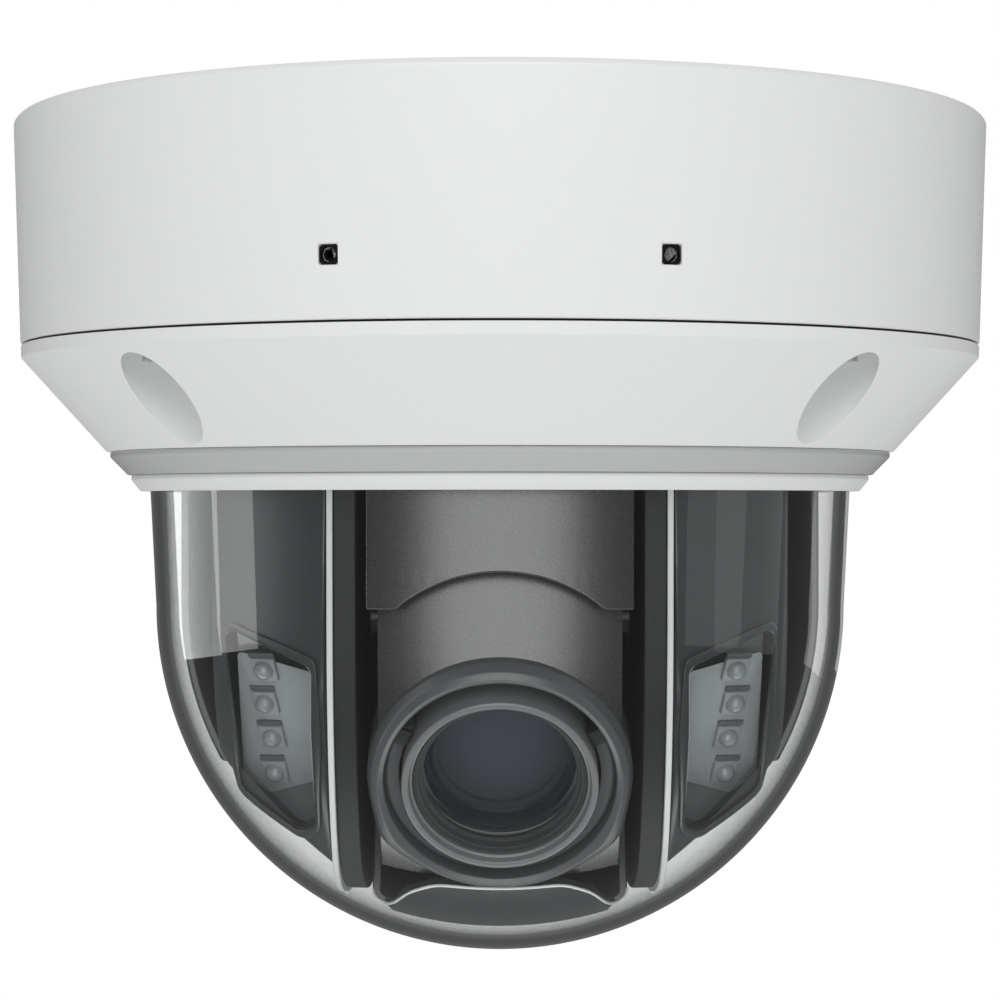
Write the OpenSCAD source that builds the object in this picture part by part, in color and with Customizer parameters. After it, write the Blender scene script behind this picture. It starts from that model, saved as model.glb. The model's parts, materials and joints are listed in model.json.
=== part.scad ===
// Ceiling-hung pan, tilt and zoom dome camera.
// Millimetres. The origin is the centre of the ceiling face, +Z is up, and the lens looks towards -Y.

/* [Housing] */
// Radius of the housing at the ceiling face
base_r = 80; // [78:0.5:84]
// Radius of the housing where it meets the cover
base_low_r = 78.9; // [77.8:0.1:80]
// Height of the housing
base_h = 36.5; // [36:0.5:42]
// Thickness of the housing's roof under the mount plate
roof_t = 3.5; // [3:0.1:4]
// Angle of each microphone port from the front
mic_angle = 17.9; // [14:0.1:24]

/* [Mounting] */
// Radius of the steel mount plate
plate_r = 62; // [58:0.5:64]
// Thickness of the mount plate
plate_t = 1.5; // [1.2:0.1:2]
// Bolt circle diameter of the ceiling screws
mount_pcd = 100; // [92:1:104]
// Radius of each ceiling screw hole
mount_hole_r = 2.25; // [2:0.05:2.6]
// Radius of the cable hole in the grommet
cable_r = 3.2; // [2.5:0.1:4]

/* [Cover] */
// Height of the bevelled cover under the seal
cover_h = 17.15; // [16.5:0.05:18]
// Radius of the cover's lower edge
cover_low_r = 65; // [64:0.5:66]
// Radius of the screw scallops
scallop_r = 6.05; // [5.5:0.05:6.4]
// Distance of the cover screws from the axis
cover_screw_r = 71.5; // [71:0.1:72]

/* [Dome] */
// Outer radius of the dome's round end
dome_r = 56.9; // [56.5:0.1:57.3]
// Thickness of the dome's wall
dome_wall = 2.2; // [1.8:0.1:2.3]
// Height of the dome's sphere centre below the ceiling
dome_drop = 79.2; // [78.8:0.1:80]

/* [Pan drive] */
// Gear module of the pan gears
pan_module = 1.2; // [1.2:0.1:1.2]
// Teeth of the pan gear
pan_teeth = 60; // [60:1:60]
// Teeth of the pan motor's pinion
pan_pinion_teeth = 15; // [15:1:15]
// Radius of the turntable
table_r = 52; // [50:0.5:53]

/* [Tilt drive] */
// Height of the tilt axis below the ceiling
tilt_drop = 81; // [80.6:0.1:81.3]
// Angle of the lens below level at rest
rest_tilt = 29; // [10:1:60]
// Gear module of the tilt gears
tilt_module = 0.8; // [0.8:0.1:0.8]
// Teeth of the tilt gear
tilt_teeth = 36; // [36:1:36]
// Teeth of the tilt motor's pinion
tilt_pinion_teeth = 12; // [12:1:12]

/* [Head] */
// Crown radius of the grained front shell
head_r = 49.4; // [48.5:0.1:49.6]
// Half width of the front shell
head_half_w = 18.2; // [17.6:0.1:18.6]
// Crown radius of the smooth rear shell
rear_shell_r = 51.4; // [50.8:0.1:51.5]
// Half width of the rear shell
rear_half_w = 20.6; // [20:0.1:20.7]
// Crown radius of the fixed shields
shield_r = 53.4; // [53.2:0.1:53.5]
// Outer radius of the lens barrel
barrel_r = 14.8; // [14:0.1:14.8]
// Distance from the tilt axis to the front of the barrel
barrel_front = 49.7; // [48.5:0.1:49.7]
// Outer radius of the lens collar
collar_r = 20; // [19.5:0.1:20]

/* [Infrared lamps] */
// Inner plane of each lamp lobe, from the centre plane
lobe_in = 25.7; // [25.7:0.1:26]
// Outer plane of each lamp lobe, from the centre plane
lobe_out = 44.5; // [43:0.1:45]
// Sphere radius of the lamp lobes
lobe_r = 53; // [52.6:0.1:53.2]

/* [Hidden] */
$fn = 96;
EPS = 0.01;
FAR = 200;
// How far bosses and ribs run into the roof they hang from
rooted = 1;

// Heights, all negative because the camera hangs from its origin
roof_top = -plate_t;
roof_low = roof_top - roof_t;
base_low = -base_h;
seal_t = 0.35;
cover_top = base_low - seal_t;
cover_low = cover_top - cover_h;
bevel_top = cover_top - 1.95;
trim_low = cover_low - 3.8;
rim_low = trim_low - 2.65;
dome_z = -dome_drop;
tilt_z = -tilt_drop;

// Housing walls and bosses
base_in_top_r = base_r - 3.2;
base_in_low_r = base_low_r - 2.9;
boss_r = 4.2;
pillar_r = 4;
pillar_ring = 62;
pillar_angles = [20, 160, 200, 340];
grommet_r = 12;
conduit_r = 10.5;
conduit_z = -19;
spacer_ring = 50;
spacer_angles = [65, 115, 250, 320];
clamp_ring = 64.7;
clamp_angles = [0:60:300];
mic_z = -27.3;

// Dome clamp stack: ledge in the cover, seal, dome flange, retainer
dome_in_r = dome_r - dome_wall;
dome_neck_r = 57.85;
dome_neck_in = 55.4;
ledge_z = -50.5;
dome_seal_t = 0.8;
flange_low = ledge_z + dome_seal_t;
flange_top = flange_low + 2.2;
flange_r = 62.4;
cover_bore = 58.3;

// Pan drive heights
chassis_top = -19.5;
chassis_low = -21.5;
gear_top = -22.5;
table_top = -26.5;
table_low = -30;
hub_r = 11.95;
hub_top = -13.5;
board_top = -10;
board_low = -11.6;
pan_centre = pan_module * (pan_teeth + pan_pinion_teeth) / 2;

// Side frames and the planes across the inner module
frame_in = 21.4;
frame_out = 24.8;
frame_r = 47;
frame_screw_y = 40;
screw_sink = 1.6;
strip_r = 47.8;
lobe_back = 17;
tab_r = 49;
cover_edge = 10;

// Tilt drive
tilt_centre = tilt_module * (tilt_teeth + tilt_pinion_teeth) / 2;
pinion_dir = -110;
gear_x = 26.6;
gear_w = 3;
axle_r = 3;
run_gap = 0.05;

// Head: crowned surfaces share one cross radius
crown = 62.5;
shell_t = 1.4;
front_low_edge = 24.4;
front_top_edge = -85;
rear_back_edge = 140;
plate_in = 15.4;
plate_out = 16.8;

// ---------------------------------------------------------------- helpers

// A plain ring between two heights
module ring(r_out, r_in, z_low, z_high) {
    translate([0, 0, z_low])
        difference() {
            cylinder(r = r_out, h = z_high - z_low);
            translate([0, 0, -1]) cylinder(r = r_in, h = z_high - z_low + 2);
        }
}

// A round bar between two heights
module bar(r, z_low, z_high) {
    translate([0, 0, z_low]) cylinder(r = r, h = z_high - z_low);
}

// A round bar along X, placed in the Y-Z plane
module x_bar(r, x_low, x_high, y = 0, z = 0) {
    translate([x_low, y, z]) rotate([0, 90, 0]) cylinder(r = r, h = x_high - x_low);
}

// Copies the children at a list of angles and one radius
module around(angles, radius) {
    for (a = angles) rotate([0, 0, a]) translate([radius, 0, 0]) children();
}

// Copies the children to both sides of the centre plane
module both_sides() {
    children();
    mirror([1, 0, 0]) children();
}

// Angles here turn about the tilt axis: 0 is level to the front and 90 is straight down
module tilt_frame() {
    translate([0, 0, tilt_z]) rotate([0, 90, 0]) rotate([0, 0, -90]) children();
}

// The head's own frame: its +X runs out along the lens
module head_frame() {
    tilt_frame() rotate([0, 0, rest_tilt]) children();
}

// A round bar along the lens, between two distances from the tilt axis
module lens_bar(r, c_low, c_high) {
    translate([c_low, 0, 0]) rotate([0, 90, 0]) cylinder(r = r, h = c_high - c_low);
}

// Profile of a crowned drum: radius to the crown, and half its width
module crown_profile(r, half_w) {
    intersection() {
        translate([r - crown, 0]) circle(r = crown, $fn = 180);
        translate([0, -half_w]) square([FAR, 2 * half_w]);
    }
}

// A wall of a crowned drum between two angles about the tilt axis
module crown_wall(r_out, r_in, half_w, from, to) {
    rotate([0, 0, from])
        rotate_extrude(angle = to - from, $fn = 180)
            difference() {
                crown_profile(r_out, half_w);
                translate([r_in - crown, 0]) circle(r = crown, $fn = 180);
            }
}

// A solid wedge of a crowned drum between two angles about the tilt axis
module crown_wedge(r_out, half_w, from, to) {
    rotate([0, 0, from])
        rotate_extrude(angle = to - from, $fn = 180) crown_profile(r_out, half_w);
}

// The dome's inner form: half a sphere with a straight cylinder over it
module dome_form(r) {
    translate([0, 0, dome_z]) sphere(r = r, $fn = 128);
    translate([0, 0, dome_z]) cylinder(r = r, h = 60, $fn = 128);
}

// Involute gear teeth, from the pitch radius and pressure angle
pressure_angle = 25;
addendum = 0.9;
dedendum = 1.2;
backlash = 0.14;
function involute(a) = tan(a) * 180 / PI - a;
function polar(r, a) = [r * cos(a), r * sin(a)];
function tooth_half(m, n, r) =
    let (pitch = m * n / 2, base = pitch * cos(pressure_angle))
    90 / n - backlash / pitch * 90 / PI + involute(pressure_angle) - involute(acos(min(1, base / r)));
function flank(m, n) =
    let (pitch = m * n / 2, low = pitch * cos(pressure_angle), tip = pitch + addendum * m,
        start = max(low, pitch - dedendum * m))
    [start, start + (tip - start) * 0.45, tip];
function tooth(m, n, c) =
    let (f = flank(m, n), root = m * n / 2 - dedendum * m)
    concat([polar(root, c - tooth_half(m, n, f[0]))],
        [for (r = f) polar(r, c - tooth_half(m, n, r))],
        [for (i = [2:-1:0]) polar(f[i], c + tooth_half(m, n, f[i]))],
        [polar(root, c + tooth_half(m, n, f[0]))]);

module gear_wheel(m, n, h, bore) {
    linear_extrude(height = h)
        difference() {
            polygon([for (i = [0:n - 1]) each tooth(m, n, i * 360 / n)]);
            circle(r = bore);
        }
}

// ---------------------------------------------------------------- housing

// Direction of a microphone port, as a turn about the vertical
module mic_place(side) {
    rotate([0, 0, -90 + side * mic_angle]) translate([0, 0, mic_z]) rotate([0, 90, 0]) children();
}

module base_housing() {
    color("#d9dbdb")
        difference() {
            union() {
                rotate_extrude()
                    polygon([
                        [grommet_r, roof_top], [plate_r + 0.4, roof_top], [plate_r + 0.4, 0],
                        [base_r - 0.9, 0], [base_r, -0.9], [base_low_r, base_low],
                        [base_in_low_r, base_low], [base_in_top_r, roof_low], [grommet_r, roof_low]
                    ]);
                around([45:90:315], cover_screw_r) bar(boss_r, base_low, roof_low + rooted);
                around([45:90:315], cover_screw_r)
                    translate([0, -1, base_low]) cube([5.8, 2, base_h + roof_low + rooted]);
                around(pillar_angles, pillar_ring) bar(pillar_r, chassis_top, roof_low + rooted);
            }
            around([45:90:315], cover_screw_r) bar(1.5, base_low - 1, base_low + 10);
            around(pillar_angles, pillar_ring) bar(1.25, chassis_top - 1, chassis_top + 8);
            around([0:90:270], mount_pcd / 2) bar(6, roof_low - 1, roof_top + 1);
            translate([0, base_r - 12, conduit_z]) rotate([-90, 0, 0]) cylinder(r = conduit_r, h = 20);
            for (side = [-1, 1])
                mic_place(side) {
                    translate([0, 0, base_r - 8]) cylinder(r = 1, h = 12);
                    translate([-1.45, -1.45, base_r - 1.6]) cube([2.9, 2.9, 6]);
                }
        }
}

module mount_plate() {
    color("#a8abad")
        difference() {
            ring(plate_r, 20, roof_top, 0);
            around([0:90:270], mount_pcd / 2) bar(mount_hole_r, roof_top - 1, 1);
            around([30:120:270], 40) translate([-1.5, -7, roof_top - 1]) cube([3, 14, 4]);
        }
}

module cable_grommet() {
    color("#202123")
        difference() {
            union() {
                bar(grommet_r, roof_low - 1.2, roof_top + 1.2);
                bar(grommet_r + 2.5, roof_top, roof_top + 1.2);
                bar(grommet_r + 2.5, roof_low - 1.2, roof_low);
            }
            bar(cable_r, roof_low - 3, 1);
        }
}

module conduit_plug() {
    color("#d9dbdb")
        translate([0, 0, conduit_z]) rotate([-90, 0, 0])
            difference() {
                union() {
                    translate([0, 0, 74]) cylinder(r = conduit_r, h = 4.6);
                    translate([0, 0, 73]) cylinder(r = conduit_r + 2, h = 1.5);
                }
                translate([0, 0, 77.6]) rotate([0, 0, 30]) cylinder(r = 5, h = 3, $fn = 6);
            }
}

module base_seal() {
    color("#17181a") ring(78.3, 74, cover_top, base_low);
}

// Outer form of the cover, solid to the axis
module cover_form() {
    rotate_extrude()
        polygon([
            [0, cover_top], [base_low_r - 0.05, cover_top], [base_low_r - 0.1, bevel_top],
            [cover_low_r, cover_low], [0, cover_low]
        ]);
}

module dome_cover() {
    color("#d9dbdb")
        difference() {
            intersection() {
                cover_form();
                union() {
                    rotate_extrude()
                        polygon([
                            [70, cover_top + 1], [FAR, cover_top + 1], [FAR, cover_low - 1],
                            [cover_bore, cover_low - 1], [cover_bore, ledge_z], [63, ledge_z],
                            [63, -46.5], [66.5, -46.5], [72.5, -39.6], [70, -39.6]
                        ]);
                    around([45:90:315], cover_screw_r) bar(scallop_r + 1.5, cover_low, cover_top);
                }
            }
            around([45:90:315], cover_screw_r) bar(scallop_r, cover_low - 1, cover_top - 2.35);
            around([45:90:315], cover_screw_r) bar(1.6, cover_low - 1, cover_top + 1);
            around(clamp_angles, clamp_ring) bar(0.8, -50.2, -46);
        }
}

module cover_screws() {
    color("#8b8d8f")
        around([45:90:315], cover_screw_r)
            difference() {
                union() {
                    bar(2.9, cover_top - 4.35, cover_top - 2.35);
                    bar(1.5, cover_top - 2.4, base_low + 9);
                }
                bar(1.1, cover_top - 5, cover_top - 3.2);
            }
}

module trim_ring() {
    color("#9a9c9c")
        rotate_extrude()
            polygon([
                [cover_bore, cover_low], [64.4, cover_low], [64.4, cover_low - 0.9],
                [61.55, trim_low], [cover_bore, trim_low]
            ]);
}

module lower_rim() {
    color("#d9dbdb")
        rotate_extrude()
            polygon([
                [cover_bore, trim_low], [60.95, trim_low], [60.95, trim_low - 0.8],
                [59.5, rim_low], [cover_bore, rim_low]
            ]);
}

// ---------------------------------------------------------------- dome

module dome_bubble() {
    color([0.8, 0.86, 0.88, 0.25])
        difference() {
            union() {
                translate([0, 0, dome_z]) sphere(r = dome_r, $fn = 180);
                translate([0, 0, dome_z])
                    cylinder(r1 = dome_r, r2 = dome_neck_r, h = rim_low - dome_z);
                bar(dome_neck_r, rim_low, flange_top);
                bar(flange_r, flange_low, flange_top);
            }
            translate([0, 0, dome_z]) sphere(r = dome_in_r, $fn = 180);
            translate([0, 0, dome_z])
                cylinder(r1 = dome_in_r, r2 = dome_neck_in, h = rim_low - dome_z + EPS);
            bar(dome_neck_in, rim_low, flange_top + 40);
        }
}

module dome_seal() {
    color("#1c1d1f") ring(62.5, 58.6, ledge_z, flange_low);
}

module dome_retainer() {
    color("#3a3c3e")
        difference() {
            union() {
                ring(62.8, 57, flange_top, -46.5);
                ring(66.3, 57, -46.5, -44.8);
            }
            around([45:90:315], cover_screw_r) bar(scallop_r + 1.8, -60, -40);
            around(clamp_angles, clamp_ring) bar(0.8, -48, -44);
        }
}

module retainer_screws() {
    color("#8b8d8f")
        around(clamp_angles, clamp_ring) {
            bar(0.8, -50, -44.8);
            bar(1.6, -44.8, -43.8);
        }
}

// ---------------------------------------------------------------- fixed inner parts

module chassis_plate() {
    color("#b4b7b9")
        difference() {
            union() {
                ring(68, 17, chassis_low, chassis_top);
                ring(20, 17, chassis_low, -16);
            }
            around(pillar_angles, pillar_ring) bar(1.5, chassis_low - 1, chassis_top + 1);
            translate([0, pan_centre, 0]) bar(6, chassis_low - 1, chassis_top + 1);
            translate([18, -52, 0]) bar(2.2, chassis_low - 1, chassis_top + 1);
            translate([-9, -60, chassis_low - 1]) cube([18, 20, 4]);
            around([45:90:315], cover_screw_r) bar(boss_r + 0.6, chassis_low - 1, chassis_top + 1);
        }
}

module chassis_screws() {
    color("#8b8d8f")
        around(pillar_angles, pillar_ring) {
            bar(1.25, chassis_low, chassis_top + 7);
            bar(2.5, chassis_low - 1.8, chassis_low);
        }
}

module main_board() {
    color("#1f5a3c")
        difference() {
            ring(57, 14.5, board_low, board_top);
            translate([0, pan_centre, 0]) bar(15.5, board_low - 1, board_top + 1);
            translate([-49, 19, board_low - 1]) cube([22, 30, 4]);
            around(spacer_angles, spacer_ring) bar(1.4, board_low - 1, board_top + 1);
        }
}

module heat_spreader() {
    color("#9fa3a6")
        difference() {
            translate([24, -14, board_top]) cube([22, 22, 4.4]);
            for (i = [0:4]) translate([26 + i * 4, -15, board_top + 1.4]) cube([2, 24, 5]);
        }
}

module board_spacers() {
    color("#b7a46a")
        around(spacer_angles, spacer_ring) {
            bar(2.4, chassis_top, board_low);
            bar(1.4, board_low, board_top);
        }
}

module network_jack() {
    color("#8f9294")
        difference() {
            translate([-46, 22, chassis_top]) cube([16, 21, 13.5]);
            translate([-43.9, 26, chassis_top + 2.5]) cube([11.8, 18, 8.5]);
        }
}

module card_slot() {
    color("#7d8082")
        difference() {
            translate([-7, -56, board_low - 2.2]) cube([14, 15, 2.2]);
            translate([-5.6, -57, board_low - 1.7]) cube([11.2, 14, 1.2]);
        }
}

module reset_switch() {
    color("#2a2b2d")
        difference() {
            translate([15, -55, board_low - 4]) cube([6, 6, 4]);
            translate([18, -52, 0]) bar(1.75, board_low - 5, board_low - 1);
        }
}

module reset_button() {
    color("#b8503c") translate([18, -52, 0]) bar(1.7, -22.6, board_low - 2.6);
}

module microphones() {
    color("#2a2b2d")
        for (side = [-1, 1])
            mic_place(side)
                difference() {
                    translate([0, 0, 71.6]) cylinder(r = 3.2, h = 4);
                    translate([0, 0, 74.6]) cylinder(r = 1, h = 3);
                }
}

module pan_motor() {
    color("#a3a6a8")
        translate([0, pan_centre, 0])
            difference() {
                union() {
                    bar(14, chassis_top, -7.8);
                    bar(5.9, chassis_low, chassis_top);
                }
                bar(1.55, chassis_low - 1, -11);
            }
}

module pan_pinion() {
    color("#e4e2da")
        translate([0, pan_centre, 0]) {
            translate([0, 0, table_top + 0.5]) rotate([0, 0, 270 + 180 / pan_pinion_teeth])
                gear_wheel(pan_module, pan_pinion_teeth, gear_top - table_top - 0.7, 0.6);
            bar(1.5, table_top + 0.5, -11.2);
        }
}

module pan_bearing() {
    color("#c6c9cb") ring(17, hub_r + run_gap, chassis_low, -16.5);
}

// ---------------------------------------------------------------- pan module

// The frame screws stand in the turntable with their heads sunk below its top
module frame_screw_places() {
    for (x = [-1, 1], y = [-1, 1])
        translate([x * (frame_in + frame_out) / 2, y * frame_screw_y, 0]) children();
}

module turntable() {
    color("#2c2d2f")
        difference() {
            union() {
                bar(table_r, table_low, table_top);
                bar(14, table_top, chassis_low - 0.3);
                bar(hub_r, table_top, hub_top);
            }
            bar(8, table_low - 1, hub_top + 1);
            ring(hub_r + 1, 11, -16.2, -15);
            frame_screw_places() {
                bar(1.6, table_low - 1, table_top);
                bar(2.7, table_top - screw_sink, table_top + 1);
            }
        }
}

module hub_clip() {
    color("#8b8d8f")
        difference() {
            ring(14, 11, -16.1, -15.1);
            translate([-1.5, -15, -17]) cube([3, 6, 3]);
        }
}

module pan_gear() {
    color("#e4e2da")
        translate([0, 0, table_top]) gear_wheel(pan_module, pan_teeth, gear_top - table_top, 29);
}

// One side frame, drawn on the right
module side_frame() {
    color("#232426")
        difference() {
            union() {
                x_bar(frame_r, frame_in, frame_out, 0, dome_z);
                translate([frame_in, -frame_r, dome_z])
                    cube([frame_out - frame_in, 2 * frame_r, table_low - dome_z]);
            }
            x_bar(6, frame_in - 1, frame_out + 1, 0, tilt_z);
            frame_screw_places() bar(1.25, table_low - 12, 0);
            translate([frame_in - 1, 12, -60]) cube([6, 18, 12]);
        }
}

module side_frame_left() {
    mirror([1, 0, 0]) side_frame();
}

module side_frame_right() {
    side_frame();
}

module frame_screws() {
    color("#8b8d8f")
        frame_screw_places() {
            bar(1.25, table_low - 11, table_low);
            bar(1.6, table_low, table_top - screw_sink);
            bar(2.6, table_top - screw_sink, table_top);
        }
}

module light_seals() {
    color("#c9cccb")
        both_sides()
            difference() {
                union() {
                    x_bar(strip_r, frame_out, lobe_in, 0, dome_z);
                    translate([frame_out, -strip_r, dome_z]) cube([lobe_in - frame_out, 2 * strip_r, 33]);
                }
                x_bar(strip_r - 3.6, frame_out - 1, lobe_in + 1, 0, dome_z);
                translate([frame_out - 1, 3.6 - strip_r, dome_z])
                    cube([3, 2 * (strip_r - 3.6), 60]);
            }
}

// Outline of a lamp window seen from the front, grown by a margin
module window_outline(grow) {
    polygon([
        [42 + grow, -81.2 + grow], [28 - grow, -87 + grow],
        [27.9 - grow, -115.6 - grow * 1.5], [40.6 + grow, -107.4 - grow]
    ]);
}

module window_prism(grow) {
    rotate([90, 0, 0]) linear_extrude(height = 70) window_outline(grow);
}

// One lamp lobe, a thin shell that follows the dome
module ir_lobe() {
    color("#2e3032")
        difference() {
            intersection() {
                dome_form(lobe_r);
                translate([lobe_in, -FAR, -118.6]) cube([lobe_out - lobe_in, FAR - lobe_back, 72.6]);
                rotate([90, 0, 0]) linear_extrude(height = FAR)
                    polygon([
                        [20, -40], [46, -40], [46, -100], [43.6, -110.2], [26, -119.6], [20, -119.6]
                    ]);
            }
            intersection() {
                dome_form(lobe_r - 1.6);
                translate([lobe_in + 1.5, -FAR, -116.4])
                    cube([lobe_out - lobe_in - 3, FAR - lobe_back + 5, 66]);
                rotate([90, 0, 0]) linear_extrude(height = FAR)
                    polygon([
                        [20, -30], [44.4, -30], [44.4, -100], [42.2, -108.6], [25, -117.6], [20, -117.6]
                    ]);
            }
            window_prism(0);
        }
}

module ir_lobe_left() {
    mirror([1, 0, 0]) ir_lobe();
}

module ir_lobe_right() {
    ir_lobe();
}

module ir_windows() {
    color([0.16, 0.15, 0.17, 0.6])
        both_sides()
            intersection() {
                difference() {
                    dome_form(lobe_r - 0.2);
                    dome_form(lobe_r - 1.5);
                }
                window_prism(-0.05);
            }
}

// The lamp boards lean back and out behind their windows
module ir_board_frame() {
    translate([34.4, -26.5, -95.6]) rotate([28, 0, 22]) children();
}

module ir_boards() {
    color("#c8ccc9")
        both_sides() ir_board_frame() translate([-5, 0, -10.5]) cube([10, 1.2, 21]);
}

module ir_leds() {
    color("#d8d4b8")
        both_sides()
            ir_board_frame()
                for (i = [-1.5:1:1.5])
                    translate([0, 0, i * 5.3]) {
                        translate([-1.75, -0.8, -1.75]) cube([3.5, 0.8, 3.5]);
                        translate([0, -0.8, 0])
                            intersection() {
                                sphere(r = 1.6, $fn = 32);
                                translate([-2, -2, -2]) cube([4, 2, 4]);
                            }
                    }
}

// Tabs that hold a shield between the two side frames
module shield_tabs(angles) {
    for (a = angles, s = [-1, 1])
        rotate([0, 0, a]) translate([tab_r, -2, s * (frame_in - 1.3) - 1.3]) cube([1.1, 4, 2.6]);
}

module front_shield() {
    color("#3c3e3f")
        difference() {
            tilt_frame() {
                crown_wall(shield_r, shield_r - 0.9, 19.8, -52, -3.1);
                shield_tabs([-44, -30]);
            }
            translate([0, -20, -96.3]) rotate([90, 0, 0]) cylinder(r = 23.7, h = 60);
        }
}

module rear_shield() {
    color("#2c2d2f")
        tilt_frame() {
            crown_wall(shield_r, shield_r - 0.9, 19.8, 166, 231);
            shield_tabs([184, 222]);
        }
}

// One rear cover, a thin shell behind the lamps
module rear_cover() {
    color("#34363a")
        intersection() {
            difference() {
                dome_form(lobe_r - 0.2);
                dome_form(lobe_r - 1.6);
            }
            translate([lobe_in, -cover_edge, -104.5]) cube([FAR, FAR, 74.3]);
        }
}

module rear_cover_left() {
    mirror([1, 0, 0]) rear_cover();
}

module rear_cover_right() {
    rear_cover();
}

module pinion_place() {
    tilt_frame() rotate([0, 0, pinion_dir]) translate([tilt_centre, 0, 0]) children();
}

module tilt_motor() {
    color("#a3a6a8")
        pinion_place()
            difference() {
                union() {
                    translate([0, 0, 30.4]) cylinder(r = 10, h = 13);
                    for (y = [-1, 1]) translate([7.2, y * 8, frame_out]) cylinder(r = 2, h = 6);
                }
                translate([0, 0, 20]) cylinder(r = 1.06, h = 15);
            }
}

module tilt_pinion() {
    color("#e4e2da")
        pinion_place() {
            translate([0, 0, gear_x + 0.1]) rotate([0, 0, 180 + 180 / tilt_pinion_teeth])
                gear_wheel(tilt_module, tilt_pinion_teeth, gear_w - 0.2, 0.4);
            translate([0, 0, gear_x + 0.1]) cylinder(r = 1, h = 8);
        }
}

module tilt_bearings() {
    color("#c6c9cb")
        both_sides()
            difference() {
                x_bar(6, frame_in, frame_out, 0, tilt_z);
                x_bar(axle_r + run_gap, frame_in - 1, frame_out + 1, 0, tilt_z);
            }
}

// ---------------------------------------------------------------- head

module head_front_shell() {
    color("#4a4c4d")
        head_frame()
            difference() {
                crown_wedge(head_r, head_half_w, front_top_edge, front_low_edge);
                crown_wedge(head_r - shell_t, head_half_w - shell_t, front_top_edge - 5, front_low_edge + 5);
                lens_bar(collar_r, 30, 60);
                cylinder(r = 14, h = FAR, center = true);
            }
}

module head_rear_shell() {
    color("#3f4142")
        head_frame()
            difference() {
                crown_wedge(rear_shell_r, rear_half_w, front_low_edge + 0.2, rear_back_edge);
                crown_wedge(rear_shell_r - shell_t, rear_half_w - 1.2, front_low_edge - 5, rear_back_edge + 5);
                lens_bar(collar_r + 0.6, 30, 60);
                cylinder(r = 24, h = FAR, center = true);
            }
}

module lens_collar() {
    color("#5b5d5e")
        head_frame()
            difference() {
                union() {
                    lens_bar(collar_r, 38, 47);
                    translate([47, 0, 0]) rotate([0, 90, 0]) cylinder(r1 = collar_r, r2 = 17.9, h = 2.2);
                }
                lens_bar(17.6, 37, 60);
            }
}

module head_chassis() {
    color("#8f9294")
        head_frame() {
            for (s = [-1, 1])
                difference() {
                    union() {
                        translate([0, 0, s * (plate_in + plate_out) / 2])
                            cylinder(r = 26, h = plate_out - plate_in, center = true);
                        rotate([0, 0, 85]) translate([20, -4, s * (plate_in + 19.4) / 2 - (19.4 - plate_in) / 2])
                            cube([8, 8, 19.4 - plate_in]);
                    }
                    cylinder(r = axle_r, h = FAR, center = true);
                }
            intersection() {
                difference() {
                    lens_bar(20, 2, 8);
                    lens_bar(barrel_r, 0, 10);
                }
                translate([0, -FAR, -plate_in]) cube([FAR, 2 * FAR, 2 * plate_in]);
            }
        }
}

module lens_barrel() {
    color("#3a3b3c")
        head_frame()
            difference() {
                lens_bar(barrel_r, -18, barrel_front);
                lens_bar(13.2, -17, barrel_front + 1);
                translate([barrel_front - 0.8, 0, 0])
                    rotate([0, 90, 0]) cylinder(r1 = 13.2, r2 = 13.8, h = 0.8 + EPS);
                translate([-20, -4, -4]) cube([8, 8, 8]);
            }
}

module front_element() {
    color([0.25, 0.28, 0.32, 0.5])
        head_frame()
            rotate([0, 90, 0])
                rotate_extrude()
                    intersection() {
                        translate([0, 20]) circle(r = 27.6, $fn = 180);
                        translate([0, 42.5]) square([12.4, 10]);
                    }
}

module lens_retainer() {
    color("#2f3031")
        head_frame()
            difference() {
                lens_bar(13.2, 45, 48.6);
                translate([44.9, 0, 0]) rotate([0, 90, 0]) cylinder(r1 = 11.2, r2 = 12.9, h = 3.72);
                translate([20, 0, 0]) sphere(r = 27.65, $fn = 96);
            }
}

// Rods sit above and below the optical axis
module rod_places() {
    for (s = [-1, 1]) translate([0, s * 11.4, 0]) children();
}

module guide_rods() {
    color("#c6c9cb") head_frame() rod_places() lens_bar(0.7, -17, 40);
}

// A sliding lens cell: a black ring that carries one lens
module lens_cell(c, length) {
    difference() {
        lens_bar(12.9, c, c + length);
        lens_bar(8.5, c - 1, c + 1.2);
        lens_bar(8.5, c + length - 1.2, c + length + 1);
        rod_places() lens_bar(0.76, c - 1, c + length + 1);
    }
}

module zoom_group() {
    color("#2a2b2d") head_frame() lens_cell(18, 7);
}

module focus_group() {
    color("#2a2b2d") head_frame() lens_cell(-5, 5);
}

module ir_cut_filter() {
    color([0.45, 0.25, 0.3, 0.6]) head_frame() translate([-12.5, -4, -4]) cube([0.8, 8, 8]);
}

module sensor_board() {
    color("#1f5a3c")
        head_frame() {
            translate([-19.6, -14, -14]) cube([1.6, 28, 28]);
            translate([-18, -3.6, -3.6]) cube([2.2, 7.2, 7.2]);
        }
}

module tilt_axles() {
    color("#c6c9cb")
        head_frame()
            for (s = [-1, 1])
                translate([0, 0, s > 0 ? plate_in : -frame_out - 1])
                    cylinder(r = axle_r, h = s > 0 ? gear_x + gear_w - plate_in : frame_out + 1 - plate_in);
}

module tilt_gear() {
    color("#e4e2da")
        tilt_frame()
            translate([0, 0, gear_x]) gear_wheel(tilt_module, tilt_teeth, gear_w, axle_r);
}

// ---------------------------------------------------------------- nodes

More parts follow.
